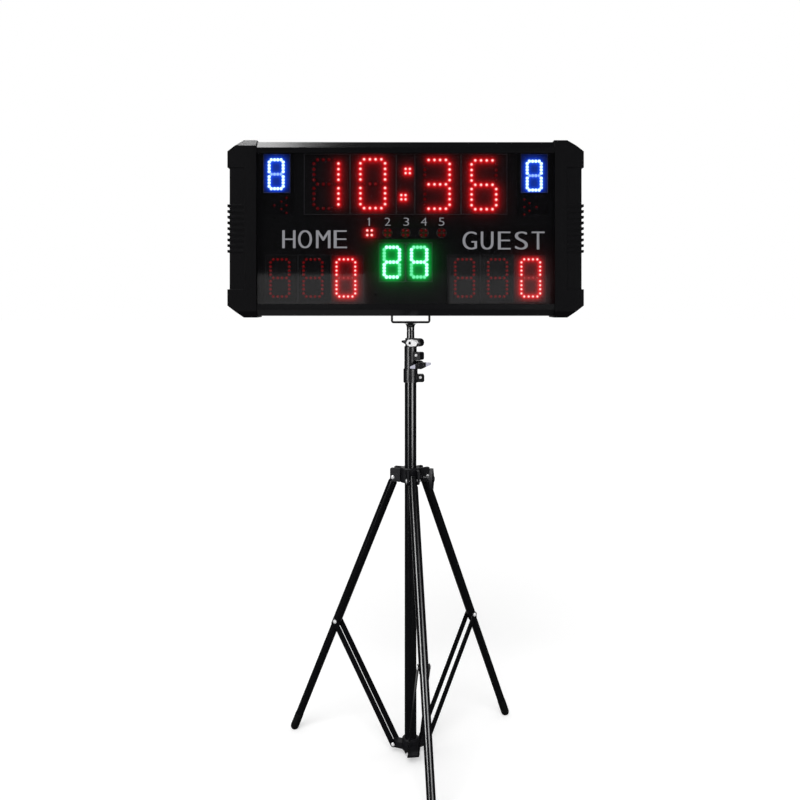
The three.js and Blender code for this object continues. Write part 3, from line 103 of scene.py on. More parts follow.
world = bpy.data.worlds.new("studio")
scene.world = world
world.use_nodes = True
world.cycles.sampling_method = "NONE"
tree = world.node_tree
tree.nodes.clear()
direction = tree.nodes.new("ShaderNodeTexCoord")
parts = tree.nodes.new("ShaderNodeSeparateXYZ")
tree.links.new(direction.outputs["Generated"], parts.inputs[0])
depth = add_node(tree, "ShaderNodeMapRange", From_Min=0.85, From_Max=0.99, To_Min=0.03, To_Max=1.0)
depth.interpolation_type = "SMOOTHSTEP"
tree.links.new(parts.outputs["Y"], depth.inputs["Value"])
path = tree.nodes.new("ShaderNodeLightPath")
mirrored = add_math(tree, "MAXIMUM", path.outputs["Is Glossy Ray"], path.outputs["Is Transmission Ray"])
plain = tree.nodes.new("ShaderNodeBackground")
plain.inputs["Strength"].default_value = 0.55
room = tree.nodes.new("ShaderNodeBackground")
tree.links.new(depth.outputs["Result"], room.inputs["Strength"])
white = tree.nodes.new("ShaderNodeBackground")
for shader in (plain, room, white):
    shader.inputs["Color"].default_value = (1, 1, 1, 1)
lit_or_mirrored = tree.nodes.new("ShaderNodeMixShader")
tree.links.new(mirrored, lit_or_mirrored.inputs["Fac"])
tree.links.new(plain.outputs[0], lit_or_mirrored.inputs[1])
tree.links.new(room.outputs[0], lit_or_mirrored.inputs[2])
behind_all = tree.nodes.new("ShaderNodeMixShader")
tree.links.new(path.outputs["Is Camera Ray"], behind_all.inputs["Fac"])
tree.links.new(lit_or_mirrored.outputs[0], behind_all.inputs[1])
tree.links.new(white.outputs[0], behind_all.inputs[2])
world_output = tree.nodes.new("ShaderNodeOutputWorld")
tree.links.new(behind_all.outputs[0], world_output.inputs["Surface"])

bpy.ops.object.light_add(type="SUN", rotation=(math.radians(38), math.radians(-18), math.radians(8)))
sun = bpy.context.object
sun.data.energy = 1.5
sun.data.angle = math.radians(35)
sun.visible_glossy = False


def soft_box(name, place, target, width, height, brightness):
    """A rectangular lamp that shows only as a reflection; brightness is its radiance, where white is 1."""
    bpy.ops.object.light_add(type="AREA", location=place)
    lamp = bpy.context.object
    lamp.name = name
    lamp.rotation_euler = (Vector(target) - Vector(place)).to_track_quat("-Z", "Y").to_euler()
    lamp.data.shape = "RECTANGLE"
    lamp.data.size = width
    lamp.data.size_y = height
    lamp.data.energy = brightness * math.pi * width * height
    lamp.visible_diffuse = False
    lamp.visible_camera = False
    return lamp


side_boxes = [soft_box("right_soft_box", (2.45, -3.3, 0), (0, 0, 0), 2.0, 1.24, 5.4),
              soft_box("left_soft_box", (-2.75, -2.7, 0), (0, 0, 0), 1.1, 1.24, 2.4)]
for index, (low, high, left_level, right_level) in enumerate((
        (0.62, 0.98, 12.0, 1.5), (0.98, 1.62, 8.5, 5.5), (1.62, 2.05, 8.5, 3.0), (2.05, 2.6, 3.0, 1.0))):
    middle, tall = (low + high) / 2, high - low
    for side, (x, y), wide, level in (("left", (-2.75, -2.7), 1.3, left_level),
                                      ("right", (2.45, -3.3), 2.0, right_level)):
        side_boxes.append(soft_box(f"{side}_high_box_{index + 1}", (x, y, middle), (0, 0, middle),
                                   wide, tall, level))
soft_box("top_soft_box", (-1.25, -0.06, 3.2), (-1.25, -0.06, 0), 1.5, 1.4, 13.0)
soft_box("left_card", (-0.862, -6, 1.11), (-0.862, 0, 1.11), 1.02, 0.415, 0.55)
soft_box("right_card", (0.901, -6, 1.2575), (0.901, 0, 1.2575), 0.95, 0.445, 0.22)
soft_box("right_low_card", (0.901, -5.9, 1.1675), (0.901, 0, 1.1675), 0.93, 0.265, 0.33)
soft_box("middle_card", (0.027, -6, 1.13), (0.027, 0, 1.13), 0.78, 0.41, 0.1)
soft_box("left_rail_card", (-0.21, -0.06, 0.9), (-0.21, -0.06, 2), 0.38, 0.06, 0.33)
soft_box("right_rail_card", (0.17, -0.06, 0.9), (0.17, -0.06, 2), 0.38, 0.06, 0.12)

GROUND = -0.003
bpy.ops.mesh.primitive_plane_add(size=80, location=(0, 0, GROUND))
floor = bpy.context.object
floor.name = "floor"
paper = bpy.data.materials.new("white_floor")
paper.use_nodes = True
paper.cycles.emission_sampling = "NONE"
tree = paper.node_tree
tree.nodes.clear()
matt = add_node(tree, "ShaderNodeBsdfDiffuse", Color=(0.8, 0.8, 0.8, 1))
glow = add_node(tree, "ShaderNodeEmission", Color=(1, 1, 1, 1))
path = tree.nodes.new("ShaderNodeLightPath")
seen = add_math(tree, "MAXIMUM", path.outputs["Is Camera Ray"], path.outputs["Is Transmission Ray"])
seen = add_math(tree, "MAXIMUM", seen, path.outputs["Is Glossy Ray"])
tree.links.new(add_math(tree, "MULTIPLY", seen, 0.35), glow.inputs["Strength"])
both = tree.nodes.new("ShaderNodeAddShader")
tree.links.new(matt.outputs[0], both.inputs[0])
tree.links.new(glow.outputs[0], both.inputs[1])
spot = tree.nodes.new("ShaderNodeSeparateXYZ")
where = tree.nodes.new("ShaderNodeNewGeometry")
tree.links.new(where.outputs["Position"], spot.inputs[0])
front = add_node(tree, "ShaderNodeMapRange", From_Min=1.2, From_Max=0.2, To_Min=0.0, To_Max=1.0)
tree.links.new(spot.outputs["Y"], front.inputs["Value"])
bearing = tree.nodes.new("ShaderNodeVectorMath")
bearing.operation = "NORMALIZE"
tree.links.new(where.outputs["Position"], bearing.inputs[0])
heading = tree.nodes.new("ShaderNodeSeparateXYZ")
tree.links.new(bearing.outputs["Vector"], heading.inputs[0])
aside = add_node(tree, "ShaderNodeMapRange", From_Min=0.98, From_Max=0.88, To_Min=0.0, To_Max=1.0)
tree.links.new(heading.outputs["Y"], aside.inputs["Value"])
off_the_back = add_math(tree, "MAXIMUM", front.outputs["Result"], aside.outputs["Result"])
dim = add_node(tree, "ShaderNodeEmission", Color=(1, 1, 1, 1), Strength=0.02)
mirrored_front = tree.nodes.new("ShaderNodeMixShader")
tree.links.new(add_math(tree, "MULTIPLY", path.outputs["Is Glossy Ray"], off_the_back),
               mirrored_front.inputs["Fac"])
tree.links.new(both.outputs[0], mirrored_front.inputs[1])
tree.links.new(dim.outputs[0], mirrored_front.inputs[2])
floor_output = tree.nodes.new("ShaderNodeOutputMaterial")
tree.links.new(mirrored_front.outputs[0], floor_output.inputs["Surface"])
floor.data.materials.append(paper)


# --- End caps. Two hollow ABS mouldings close the ends of the casing and carry nine grip ribs each.
# They slide over the rails and are held by four cross-head screws each, sunk into round pockets.
# A lamp of its own lights the left one from above, so that its upper bevel shines as in the photograph.
def surface(name, colour, roughness, metallic=0.0, specular=0.5, grain=None, cloud=(4.0, 0.12),
            streak=None):
    """A finish with a fine grain (scale, depth), a slow change of shade (scale, share)
    and drawn lines (axis, scale, share)."""
    made = bpy.data.materials.new(name)
    made.use_nodes = True
    tree = made.node_tree
    shader = tree.nodes["Principled BSDF"]
    shader.inputs["Metallic"].default_value = metallic
    shader.inputs["Specular IOR Level"].default_value = specular
    place = tree.nodes.new("ShaderNodeTexCoord").outputs["Object"]
    slow = add_node(tree, "ShaderNodeTexNoise", Scale=cloud[0], Detail=3.0, Roughness=0.6)
    tree.links.new(place, slow.inputs["Vector"])
    shade = tree.nodes.new("ShaderNodeMix")
    shade.data_type = "RGBA"
    shade.inputs["A"].default_value = (*[c * (1 - cloud[1]) for c in colour], 1)
    shade.inputs["B"].default_value = (*[min(1, c * (1 + cloud[1])) for c in colour], 1)
    tree.links.new(slow.outputs["Fac"], shade.inputs["Factor"])
    tree.links.new(shade.outputs["Result"], shader.inputs["Base Color"])
    gloss = add_node(tree, "ShaderNodeMapRange", From_Min=0.3, From_Max=0.7,
                     To_Min=roughness * 0.85, To_Max=min(1, roughness * 1.2))
    tree.links.new(slow.outputs["Fac"], gloss.inputs["Value"])
    tree.links.new(gloss.outputs["Result"], shader.inputs["Roughness"])
    if streak:
        axis, scale, share = streak
        stretch = add_node(tree, "ShaderNodeMapping",
                           Scale=[scale / 60 if index == axis else scale for index in range(3)])
        tree.links.new(place, stretch.inputs["Vector"])
        lines = add_node(tree, "ShaderNodeTexNoise", Scale=1.0, Detail=2.0)
        tree.links.new(stretch.outputs["Vector"], lines.inputs["Vector"])
        worn = add_node(tree, "ShaderNodeMapRange", From_Min=0.3, From_Max=0.7,
                        To_Min=-share, To_Max=share)
        tree.links.new(lines.outputs["Fac"], worn.inputs["Value"])
        tree.links.new(add_math(tree, "ADD", gloss.outputs["Result"], worn.outputs["Result"]),
                       shader.inputs["Roughness"])
    if grain:
        fine = add_node(tree, "ShaderNodeTexNoise", Scale=grain[0], Detail=2.0)
        tree.links.new(place, fine.inputs["Vector"])
        bump = add_node(tree, "ShaderNodeBump", Strength=0.6, Distance=grain[1])
        tree.links.new(fine.outputs["Fac"], bump.inputs["Height"])
        tree.links.new(bump.outputs["Normal"], shader.inputs["Normal"])
    return made


def only(piece):
    """Makes one piece the selected and active one."""
    bpy.ops.object.select_all(action="DESELECT")
    piece.select_set(True)
    bpy.context.view_layer.objects.active = piece


def settle(piece):
    """Moves the piece's place, turn and size into its mesh."""
    only(piece)
    bpy.ops.object.transform_apply(location=True, rotation=True, scale=True)
    return piece


def shaded(piece):
    """Shades the curved faces smooth, while the flat faces beside them keep one normal."""
    only(piece)
    bpy.ops.mesh.customdata_custom_splitnormals_clear()
    bpy.ops.object.shade_smooth_by_angle(angle=math.radians(32))
    flats = piece.modifiers.new("flats", "WEIGHTED_NORMAL")
    flats.keep_sharp = True
    bpy.ops.object.modifier_apply(modifier="flats")
    return piece


def round_edges(piece, width, segments, angle=30):
    """Rounds the edges sharper than the angle, and shades the curved faces smooth."""
    only(piece)
    rounding = piece.modifiers.new("rounding", "BEVEL")
    rounding.width = width
    rounding.segments = segments
    rounding.limit_method = "ANGLE"
    rounding.angle_limit = math.radians(angle)
    bpy.ops.object.modifier_apply(modifier="rounding")
    return shaded(piece)


def softened(node, name, width, segments=2):
    """A moulded or pressed part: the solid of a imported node, with rounded edges, in the node's place."""
    piece = bpy.data.objects.new(name, nodes[node].data.copy())
    scene.collection.objects.link(piece)
    piece.data.materials.clear()
    only(piece)
    bpy.ops.object.mode_set(mode="EDIT")
    bpy.ops.mesh.select_all(action="SELECT")
    bpy.ops.mesh.customdata_custom_splitnormals_clear()
    bpy.ops.mesh.remove_doubles(threshold=1e-6)
    bpy.ops.mesh.dissolve_limited(angle_limit=math.radians(0.5))
    bpy.ops.mesh.select_all(action="DESELECT")
    bpy.ops.object.mode_set(mode="OBJECT")
    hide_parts(node)
    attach(piece, nodes[node]["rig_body"])
    return round_edges(piece, width, segments)


def dress(piece, finish, body=None):
    """Gives the piece its finish, and the body it rides on."""
    piece.data.materials.append(finish)
    if body:
        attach(piece, body)


def cut_with(piece, *tools):
    """Cuts the tools out of the piece and removes them."""
    for tool in tools:
        only(piece)
        pocket = piece.modifiers.new("pocket", "BOOLEAN")
        pocket.operation = "DIFFERENCE"
        pocket.solver = "EXACT"
        pocket.object = tool
        bpy.ops.object.modifier_apply(modifier="pocket")
        bpy.data.objects.remove(tool)


def block(name, low, high):
    """A box between two corners."""
    low, high = Vector(low), Vector(high)
    bpy.ops.mesh.primitive_cube_add(size=1, location=(low + high) / 2)
    piece = bpy.context.object
    piece.name = name
    piece.scale = high - low
    return settle(piece)


def ringed(name, rings, start, axis, sides=48):
    """A turned part: rings of (height, radius) extruded one from another, from start along the axis."""
    height, radius = rings[0]
    base = height
    bpy.ops.mesh.primitive_circle_add(vertices=sides, radius=radius, fill_type="NGON", location=(0, 0, 0))
    piece = bpy.context.object
    piece.name = name
    bpy.ops.object.mode_set(mode="EDIT")
    bpy.ops.mesh.select_mode(type="FACE")
    bpy.ops.mesh.select_all(action="SELECT")
    for next_height, next_radius in rings[1:]:
        bpy.ops.mesh.extrude_region_move(TRANSFORM_OT_translate={"value": (0, 0, next_height - height)})
        ratio = next_radius / radius
        bpy.ops.transform.resize(value=(ratio, ratio, 1), center_override=(0, 0, next_height - base))
        height, radius = next_height, next_radius
    bpy.ops.mesh.select_all(action="SELECT")
    bpy.ops.mesh.normals_make_consistent(inside=False)
    bpy.ops.object.mode_set(mode="OBJECT")
    axis = Vector(axis).normalized()
    piece.rotation_euler = axis.to_track_quat("Z", "Y").to_euler()
    piece.location = Vector(start) + axis * base
    return shaded(settle(piece))


def copy_of(piece, name, place, turn=(0, 0, 0)):
    """A copy with its own mesh, turned and then moved."""
    twin = piece.copy()
    twin.data = piece.data.copy()
    twin.name = name
    scene.collection.objects.link(twin)
    twin.rotation_euler = turn
    twin.location = place
    return settle(twin)


def join_all(pieces, name):
    """Joins pieces into the first one."""
    bpy.ops.object.select_all(action="DESELECT")
    for piece in pieces:
        piece.select_set(True)
    bpy.context.view_layer.objects.active = pieces[0]
    bpy.ops.object.join()
    pieces[0].name = name
    return pieces[0]


CASING_MIDDLE = 1.2388
POCKET_DEPTH = 0.0026
cap_plastic = surface("textured_black_abs", (0.004, 0.0039, 0.0046), 0.5, specular=0.05,
                      grain=(1700, 0.00022), cloud=(7, 0.2))
screw_steel = surface("blackened_screw_steel", (0.16, 0.16, 0.17), 0.34, metallic=1.0,
                      grain=(900, 0.00003))
cap_screw = ringed("cap_screw", [(0, 0.0036), (0.0013, 0.0036), (0.0019, 0.0028), (0.0021, 0.0014)],
                   (0, 0, 0), (0, 0, 1), sides=24)
cut_with(cap_screw, block("slot_a", (-0.0022, -0.00045, 0.0011), (0.0022, 0.00045, 0.003)),
         block("slot_b", (-0.00045, -0.0022, 0.0011), (0.00045, 0.0022, 0.003)))
shaded(cap_screw)
cap_screw.data.materials.append(screw_steel)
for side, cap_node, outer in ((-1, "left_end_cap", -0.425), (1, "right_end_cap", 0.401)):
    name = cap_node.split("_")[0]
    cap = softened(cap_node, f"{name}_cap_shell", 0.0009, 3)
    places = [(outer, y, CASING_MIDDLE + z) for z in (-0.161, 0.161) for y in (-0.024, 0.024)]
    cut_with(cap, *[ringed("pocket", [(-POCKET_DEPTH, 0.0043), (0.002, 0.0043)], place, (side, 0, 0), 32)
                    for place in places])
    shaded(cap)
    dress(cap, cap_plastic)
    for index, (x, y, z) in enumerate(places):
        screw = copy_of(cap_screw, f"{name}_cap_screw_{index + 1}", (x - side * POCKET_DEPTH, y, z),
                        (0, side * math.radians(90), 0))
        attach(screw, "head")

left_cap_box = soft_box("left_cap_box", (-0.75, 0.5, 3.2), (-0.75, 0.5, 0), 1.2, 1.1, 105.0)
lit_cap = bpy.data.collections.new("lit_by_the_left_cap_box")
lit_cap.objects.link(bpy.data.objects["left_cap_shell"])
left_cap_box.light_linking.receiver_collection = lit_cap


# --- Rails. Two aluminium extrusions, black anodised, frame the display above and below.
# Their sloping edge and lip are drawn along their length, so fine lines run from end to end.
anodised = surface("black_anodised_rail", (0.004, 0.004, 0.0048), 0.2, specular=0.3,
                   grain=(1300, 0.00003), cloud=(5, 0.15), streak=(0, 700, 0.03))
for rail_node in ("top_rail", "bottom_rail"):
    dress(softened(rail_node, f"{rail_node}_extrusion", 0.0005, 2), anodised)


# --- Front panel. One 3 mm sheet of smoked acrylic slides in the rails' grooves in front of the lights.
# It is polished, so it mirrors the room faintly, and it lets about a third of the light through.
# The side boxes are shaded off it, as with flags in a studio, so that no view washes the display out.
smoked = bpy.data.materials.new("smoked_acrylic")
smoked.use_nodes = True
tree = smoked.node_tree
pane = tree.nodes["Principled BSDF"]
pane.inputs["Base Color"].default_value = (0.0015, 0.0015, 0.0022, 1)
pane.inputs["Alpha"].default_value = 0.45
pane.inputs["Specular IOR Level"].default_value = 0.9
wipe = add_node(tree, "ShaderNodeTexNoise", Scale=9.0, Detail=5.0, Roughness=0.65)
tree.links.new(tree.nodes.new("ShaderNodeTexCoord").outputs["Object"], wipe.inputs["Vector"])
haze = add_node(tree, "ShaderNodeMapRange", From_Min=0.35, From_Max=0.7, To_Min=0.015, To_Max=0.07)
tree.links.new(wipe.outputs["Fac"], haze.inputs["Value"])
tree.links.new(haze.outputs["Result"], pane.inputs["Roughness"])
low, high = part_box("front_panel")
panel = round_edges(block("front_pane", low, high), 0.0003, 2)
dress(panel, smoked, "head")
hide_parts("front_panel")
shaded_off = bpy.data.collections.new("shaded_off_the_side_boxes")
shaded_off.objects.link(panel)
shaded_off.collection_objects[0].light_linking.link_state = "EXCLUDE"
for lamp in side_boxes:
    lamp.light_linking.receiver_collection = shaded_off


# --- Lights. Each module is a black case on a circuit board, and a digit has seven segments of four LEDs.
# The glow that the lit LEDs throw on the cases and on the tray behind them is painted light: the meshes
# store it as a colour, which the plastic shines with.
# Places in depth of the cases' fronts, the LEDs' tips and the boards' fronts.
FACE, TIP, BOARD_FRONT = -0.0312, -0.0362, -0.0282
# The level at which an LED that is off still shines, a painted glow that stands for its lit neighbours'
# light, and the level above which an LED throws a glow.
UNLIT_GLOW, LIT = 0.05, 0.2
# Millimetres between the period lights, and between the points of a case that store the glow.
PERIOD_PITCH, GRID = 42, 2.9
RED, RED_CORE = (1.0, 0.006, 0.012), (1.0, 0.88, 0.84)
BLUE, BLUE_CORE = (0.02, 0.11, 1.0), (0.66, 1.0, 1.0)
GREEN, GREEN_CORE = (0.01, 0.80, 0.20), (0.5, 1.0, 0.86)
# The share of light that both faces of the pane let through.
THROUGH = 0.55 * 0.55
# Heights of the LEDs in an upright segment, as shares of half the digit's height.
STEPS = (0.175, 0.393, 0.608, 0.836)


def segment_lights(wide, tall, levels):
    """Places and levels of the LEDs of one digit; levels gives a b c d e f g, the seven segments."""
    a, b, c, d, e, f, g = levels
    across = [wide * share for share in (-0.35, -0.115, 0.115, 0.35)]
    lights = [(x, tall, a) for x in across] + [(x, -tall, d) for x in across] + [(x, 0, g) for x in across]
    for step in STEPS:
        lights += [(-wide / 2, tall * step, f), (wide / 2, tall * step, b)]
        lights += [(-wide / 2, -tall * step, e), (wide / 2, -tall * step, c)]
    return lights


def modules():
    """Each module's node, its LEDs' centre, diameter and colour, and every LED, in millimetres."""
    timers = {
        "timer_digit_1": (-197.0, 1343.1, (UNLIT_GLOW, 1, 1, UNLIT_GLOW, UNLIT_GLOW, UNLIT_GLOW, UNLIT_GLOW)),
        "timer_digit_2": (-88.5, 1343.7, (1, 1, 1, 1, 1, 1, UNLIT_GLOW * 2)),
        "timer_digit_3": (61.8, 1342.3, (1, 1, 1, 1, UNLIT_GLOW, UNLIT_GLOW, 1)),
        "timer_digit_4": (170.3, 1341.2, (1, UNLIT_GLOW, 1, 1, 1, 1, 1)),
    }
    for node, (x, z, levels) in timers.items():
        yield node, (x, z), 8.6, RED, segment_lights(57.4, 56.8, levels)
    dots = [(cx + x, cz + z, 1)
            for cx, cz in ((5, 30.5), (-5, -30.5)) for x in (-4.9, 4.9) for z in (-4.9, 4.9)]
    yield "timer_colon", (-12, 1342.8), 8.0, RED, dots
    for node, x, z in (("home_foul_module", -313.4, 1366.0), ("guest_foul_module", 287.6, 1362.6)):
        yield node, (x, z), 8.6, BLUE, segment_lights(32.6, 33.6, (1, 1, 1, 1, 1, 1, 0.72))
    for index, level in enumerate((1, UNLIT_GLOW * 1.4, UNLIT_GLOW * 1.2, UNLIT_GLOW, UNLIT_GLOW)):
        middle = PERIOD_PITCH * (index - 2)
        group = [(middle + x, z + 0.2, level) for x in (-5.2, 5.2) for z in (-5.4, 5.4)]
        yield f"period_{index + 1}", (-12, 1229.4), 8.0, RED, group
    for node, x, levels in (("shot_digit_1", -44, (1, 1, 0.7, 1, 1, 0.7, 1)),
                            ("shot_digit_2", 19.5, (0.75, 1, 1, 0.7, 0.65, 1, 1))):
        yield node, (x, 1161.2), 9.4, GREEN, segment_lights(35.4, 34.6, levels)
    for team, centre in (("home", -228.0), ("guest", 202.5)):
        for index in range(3):
            # Score digits that are off shine faintly too, a painted glow.
            levels = (1, 1, 1, 1, 1, 1, 0.26) if index == 2 else (0.085,) * 7
            yield (f"{team}_score_digit_{index + 1}", (centre + 77 * (index - 1), 1124.4), 7.2, RED,
                   segment_lights(43.6, 43.2, levels))


def arrow_lights(side):
    """Six LEDs that are off, in the shape of an arrow that points away from the middle; they shine with
    the faint painted glow.
    """
    tail = [(-14.2, rise) for rise in (-17.6, 0, 17.6)]
    return [(side * x, z, UNLIT_GLOW) for x, z in tail + [(-2.4, -8.7), (-2.4, 8.7), (13.9, 0)]]


def paint_led_glow(piece, lit, strength):
    """Paints on each point of the piece, as a stored colour, the light that the lit LEDs near it throw on
    it.
    """
    points = np.array([v.co for v in piece.data.vertices])[:, (0, 2)] * 1000
    total = np.zeros((len(points), 3))
    for x, z, level, diameter, near, far, shade in lit:
        away = np.hypot(points[:, 0] - x, points[:, 1] - z)
        close = near * (np.exp(-(away / (0.62 * diameter)) ** 2) + np.exp(-away / (0.55 * diameter)))
        total += level * np.outer(close + far * np.exp(-away / 13), shade)
    total = np.minimum(total * strength, 1.1)
    colours = np.column_stack([total, np.ones(len(points))]).astype(np.float32)
    painted_led_glow = piece.data.attributes.new("painted_led_glow", "FLOAT_COLOR", "POINT")
    painted_led_glow.data.foreach_set("color", colours.ravel())


def plastic_showing_painted_glow(name, colour):
    """Black plastic that shines with the painted glow stored on its points."""
    made = surface(name, colour, 0.55, specular=0.3, grain=(1500, 0.0001))
    tree = made.node_tree
    stored = tree.nodes.new("ShaderNodeAttribute")
    stored.attribute_name = "painted_led_glow"
    shader = tree.nodes["Principled BSDF"]
    tree.links.new(stored.outputs["Color"], shader.inputs["Emission Color"])
    shader.inputs["Emission Strength"].default_value = 1 / THROUGH
    made.cycles.emission_sampling = "NONE"
    return made


def faces_front(centre, normal):
    """Tells whether a face looks to the front."""
    return normal.y < -0.9


def pick_faces(piece, wanted):
    """Selects, in edit mode, the faces whose centre and normal pass the test."""
    only(piece)
    bpy.ops.object.mode_set(mode="EDIT")
    bpy.ops.mesh.select_mode(type="FACE")
    bpy.ops.mesh.select_all(action="DESELECT")
    bpy.ops.object.mode_set(mode="OBJECT")
    for face in piece.data.polygons:
        face.select = wanted(face.center, face.normal)
    bpy.ops.object.mode_set(mode="EDIT")


def paint_faces(piece, finish, wanted):
    """Gives a second finish to the faces whose centre and normal pass the test."""
    piece.data.materials.append(finish)
    for face in piece.data.polygons:
        if wanted(face.center, face.normal):
            face.material_index = len(piece.data.materials) - 1


def led(name, diameter, sharpness):
    """One round LED: a short barrel with a domed lens, and how near each point is to its bright middle."""
    radius = diameter / 2000
    rise = FACE - TIP
    rings = [(0, radius), (rise * 0.42, radius), (rise * 0.72, radius * 0.82), (rise * 0.92, radius * 0.5),
             (rise, radius * 0.18)]
    lens = ringed(name, rings, (0, FACE, 0), (0, -1, 0), sides=10)
    pick_faces(lens, lambda centre, normal: normal.y > 0.9)
    bpy.ops.mesh.delete(type="FACE")
    bpy.ops.object.mode_set(mode="OBJECT")
    core = lens.data.attributes.new("core", "FLOAT", "POINT")
    out = [math.hypot(v.co.x, v.co.z) / radius for v in lens.data.vertices]
    core.data.foreach_set("value", [max(0.0, 1.0 - reach ** sharpness) for reach in out])
    return lens


def led_lens(name, colour, middle, paling):
    """Tinted epoxy that shines in its own colour, and near white at the middle when it is fully lit."""
    made = bpy.data.materials.new(name)
    made.use_nodes = True
    tree = made.node_tree
    shader = tree.nodes["Principled BSDF"]
    shader.inputs["Base Color"].default_value = (*[c * 0.12 + 0.004 for c in colour], 1)
    shader.inputs["Roughness"].default_value = 0.18
    level, core = tree.nodes.new("ShaderNodeAttribute"), tree.nodes.new("ShaderNodeAttribute")
    level.attribute_name, core.attribute_name = "level", "core"
    paled = add_math(tree, "POWER", level.outputs["Fac"], paling)
    heart = add_math(tree, "MULTIPLY", core.outputs["Fac"], paled)
    shine = tree.nodes.new("ShaderNodeMix")
    shine.data_type = "RGBA"
    shine.inputs["A"].default_value = (*colour, 1)
    shine.inputs["B"].default_value = (*middle, 1)
    tree.links.new(heart, shine.inputs["Factor"])
    dimmed = tree.nodes.new("ShaderNodeVectorMath")
    dimmed.operation = "SCALE"
    tree.links.new(shine.outputs["Result"], dimmed.inputs[0])
    bulge = add_math(tree, "ADD", core.outputs["Fac"], 0.6)
    tree.links.new(add_math(tree, "MULTIPLY", bulge, level.outputs["Fac"]), dimmed.inputs["Scale"])
    tree.links.new(dimmed.outputs["Vector"], shader.inputs["Emission Color"])
    shader.inputs["Emission Strength"].default_value = 1 / THROUGH
    made.cycles.emission_sampling = "NONE"
    return made


# The cases shine with the painted glow of the lit LEDs.
case_black = plastic_showing_painted_glow("black_light_case", (0.012, 0.012, 0.014))
case_rim = surface("grey_case_rim", (0.22, 0.22, 0.24), 0.6, cloud=(20, 0.3))
faint_rim = surface("dark_case_rim", (0.06, 0.06, 0.066), 0.6, cloud=(20, 0.3))
board_black = surface("black_circuit_board", (0.006, 0.006, 0.007), 0.5, specular=0.2, cloud=(60, 0.25))
lenses = {RED: led_lens("red_led_lens", RED, RED_CORE, 1.3),
          BLUE: led_lens("blue_led_lens", BLUE, BLUE_CORE, 2.6),
          GREEN: led_lens("green_led_lens", GREEN, GREEN_CORE, 3.0)}
# The glow round an LED: its strength near by and further off, and its colour.
spill = {RED: (0.5, 0.018, (1.0, 0.005, 0.011)), BLUE: (0.44, 0.035, (0.008, 0.075, 0.9)),
         GREEN: (0.38, 0.04, (0.002, 0.65, 0.08))}
made_modules = list(modules())
lit = [(cx + x, cz + z, level, diameter, *spill[colour])
       for node, (cx, cz), diameter, colour, lights in made_modules
       for x, z, level in lights if level > LIT]


def lit_near(x, z, wide, tall):
    """The lit LEDs inside a box round a place, in millimetres."""
    return [light for light in lit if abs(light[0] - x) < wide / 2 and abs(light[1] - z) < tall / 2]


def light_case(node, left, right, bottom, top, rim):
    """The black case of one module with its rim, its dished face in a fine grid, and its circuit board."""
    case = block(f"{node}_case", (left, FACE, bottom), (right, BOARD_FRONT, top))
    pick_faces(case, faces_front)
    bpy.ops.mesh.inset(thickness=0.0009, depth=0)
    bpy.ops.mesh.extrude_region_move(TRANSFORM_OT_translate={"value": (0, 0.0006, 0)})
    wide, tall = (right - left) * 1000, (top - bottom) * 1000
    bpy.ops.mesh.subdivide(number_cuts=int(max(wide, tall) / GRID))
    bpy.ops.object.mode_set(mode="OBJECT")
    low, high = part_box(node)
    board = block("board", (low.x, BOARD_FRONT, low.z), high)
    board.data.materials.append(board_black)
    case.data.materials.append(case_black)
    paint_faces(case, rim,
                lambda centre, normal: faces_front(centre, normal) and centre.y < FACE + 0.0003)
    case = join_all([case, board], f"{node}_case")
    paint_led_glow(case, lit_near((left + right) * 500, (bottom + top) * 500, wide, tall), 1.0)
    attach(case, "head")
    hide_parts(node)


def light_group(name, centre, diameter, colour, lights):
    """The LEDs of one module, copied from one lens and joined, each with its own level."""
    lens = led("lens", diameter, 1.0 if colour == RED else 8.0)
    copies = []
    for x, z, level in lights:
        one = lens.copy()
        one.data = lens.data.copy()
        scene.collection.objects.link(one)
        one.location = ((centre[0] + x) / 1000, 0, (centre[1] + z) / 1000)
        own = one.data.attributes.new("level", "FLOAT", "POINT")
        own.data.foreach_set("value", [level] * len(one.data.vertices))
        copies.append(one)
    bpy.data.objects.remove(lens)
    group = settle(join_all(copies, name))
    dress(group, lenses[colour], "head")


for node, centre, diameter, colour, lights in made_modules:
    light_group(f"{node}_leds", centre, diameter, colour, lights)
    if node.startswith("period"):
        continue
    low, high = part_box(node)
    if colour == BLUE:
        left, right = centre[0] / 1000 - 0.0305, centre[0] / 1000 + 0.0324
        light_case(node, max(low.x, left), min(high.x, right), high.z - 0.091, high.z, case_rim)
    else:
        light_case(node, low.x, high.x, low.z, high.z, faint_rim if "score" in node else case_rim)
for team, x, z, side in (("home", -303.8, 1293.7, -1), ("guest", 279.1, 1289.8, 1)):
    light_group(f"{team}_arrow_leds", (x, z), 5.4, RED, arrow_lights(side))
low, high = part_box("period_module")
light_case("period_module", low.x, high.x, low.z, high.z, board_black)
ring_brown = plastic_showing_painted_glow("brown_light_ring", (0.12, 0.07, 0.03))
for index in range(5):
    x = PERIOD_PITCH * (index - 2) - 12
    ring = ringed(f"period_ring_{index + 1}",
                  [(0, 0.0117), (0.0014, 0.0117), (0.0014, 0.0109), (0.0001, 0.0109)],
                  (x / 1000, FACE + 0.0006, 1.2296), (0, -1, 0))
    # The glow of the lit LEDs is painted on the rings.
    paint_led_glow(ring, lit_near(x, 1229.6, 120, 120), 0.5)
    dress(ring, ring_brown, "head")
    paint_faces(ring, case_rim,
                lambda centre, normal: faces_front(centre, normal) and centre.y < FACE - 0.0005)


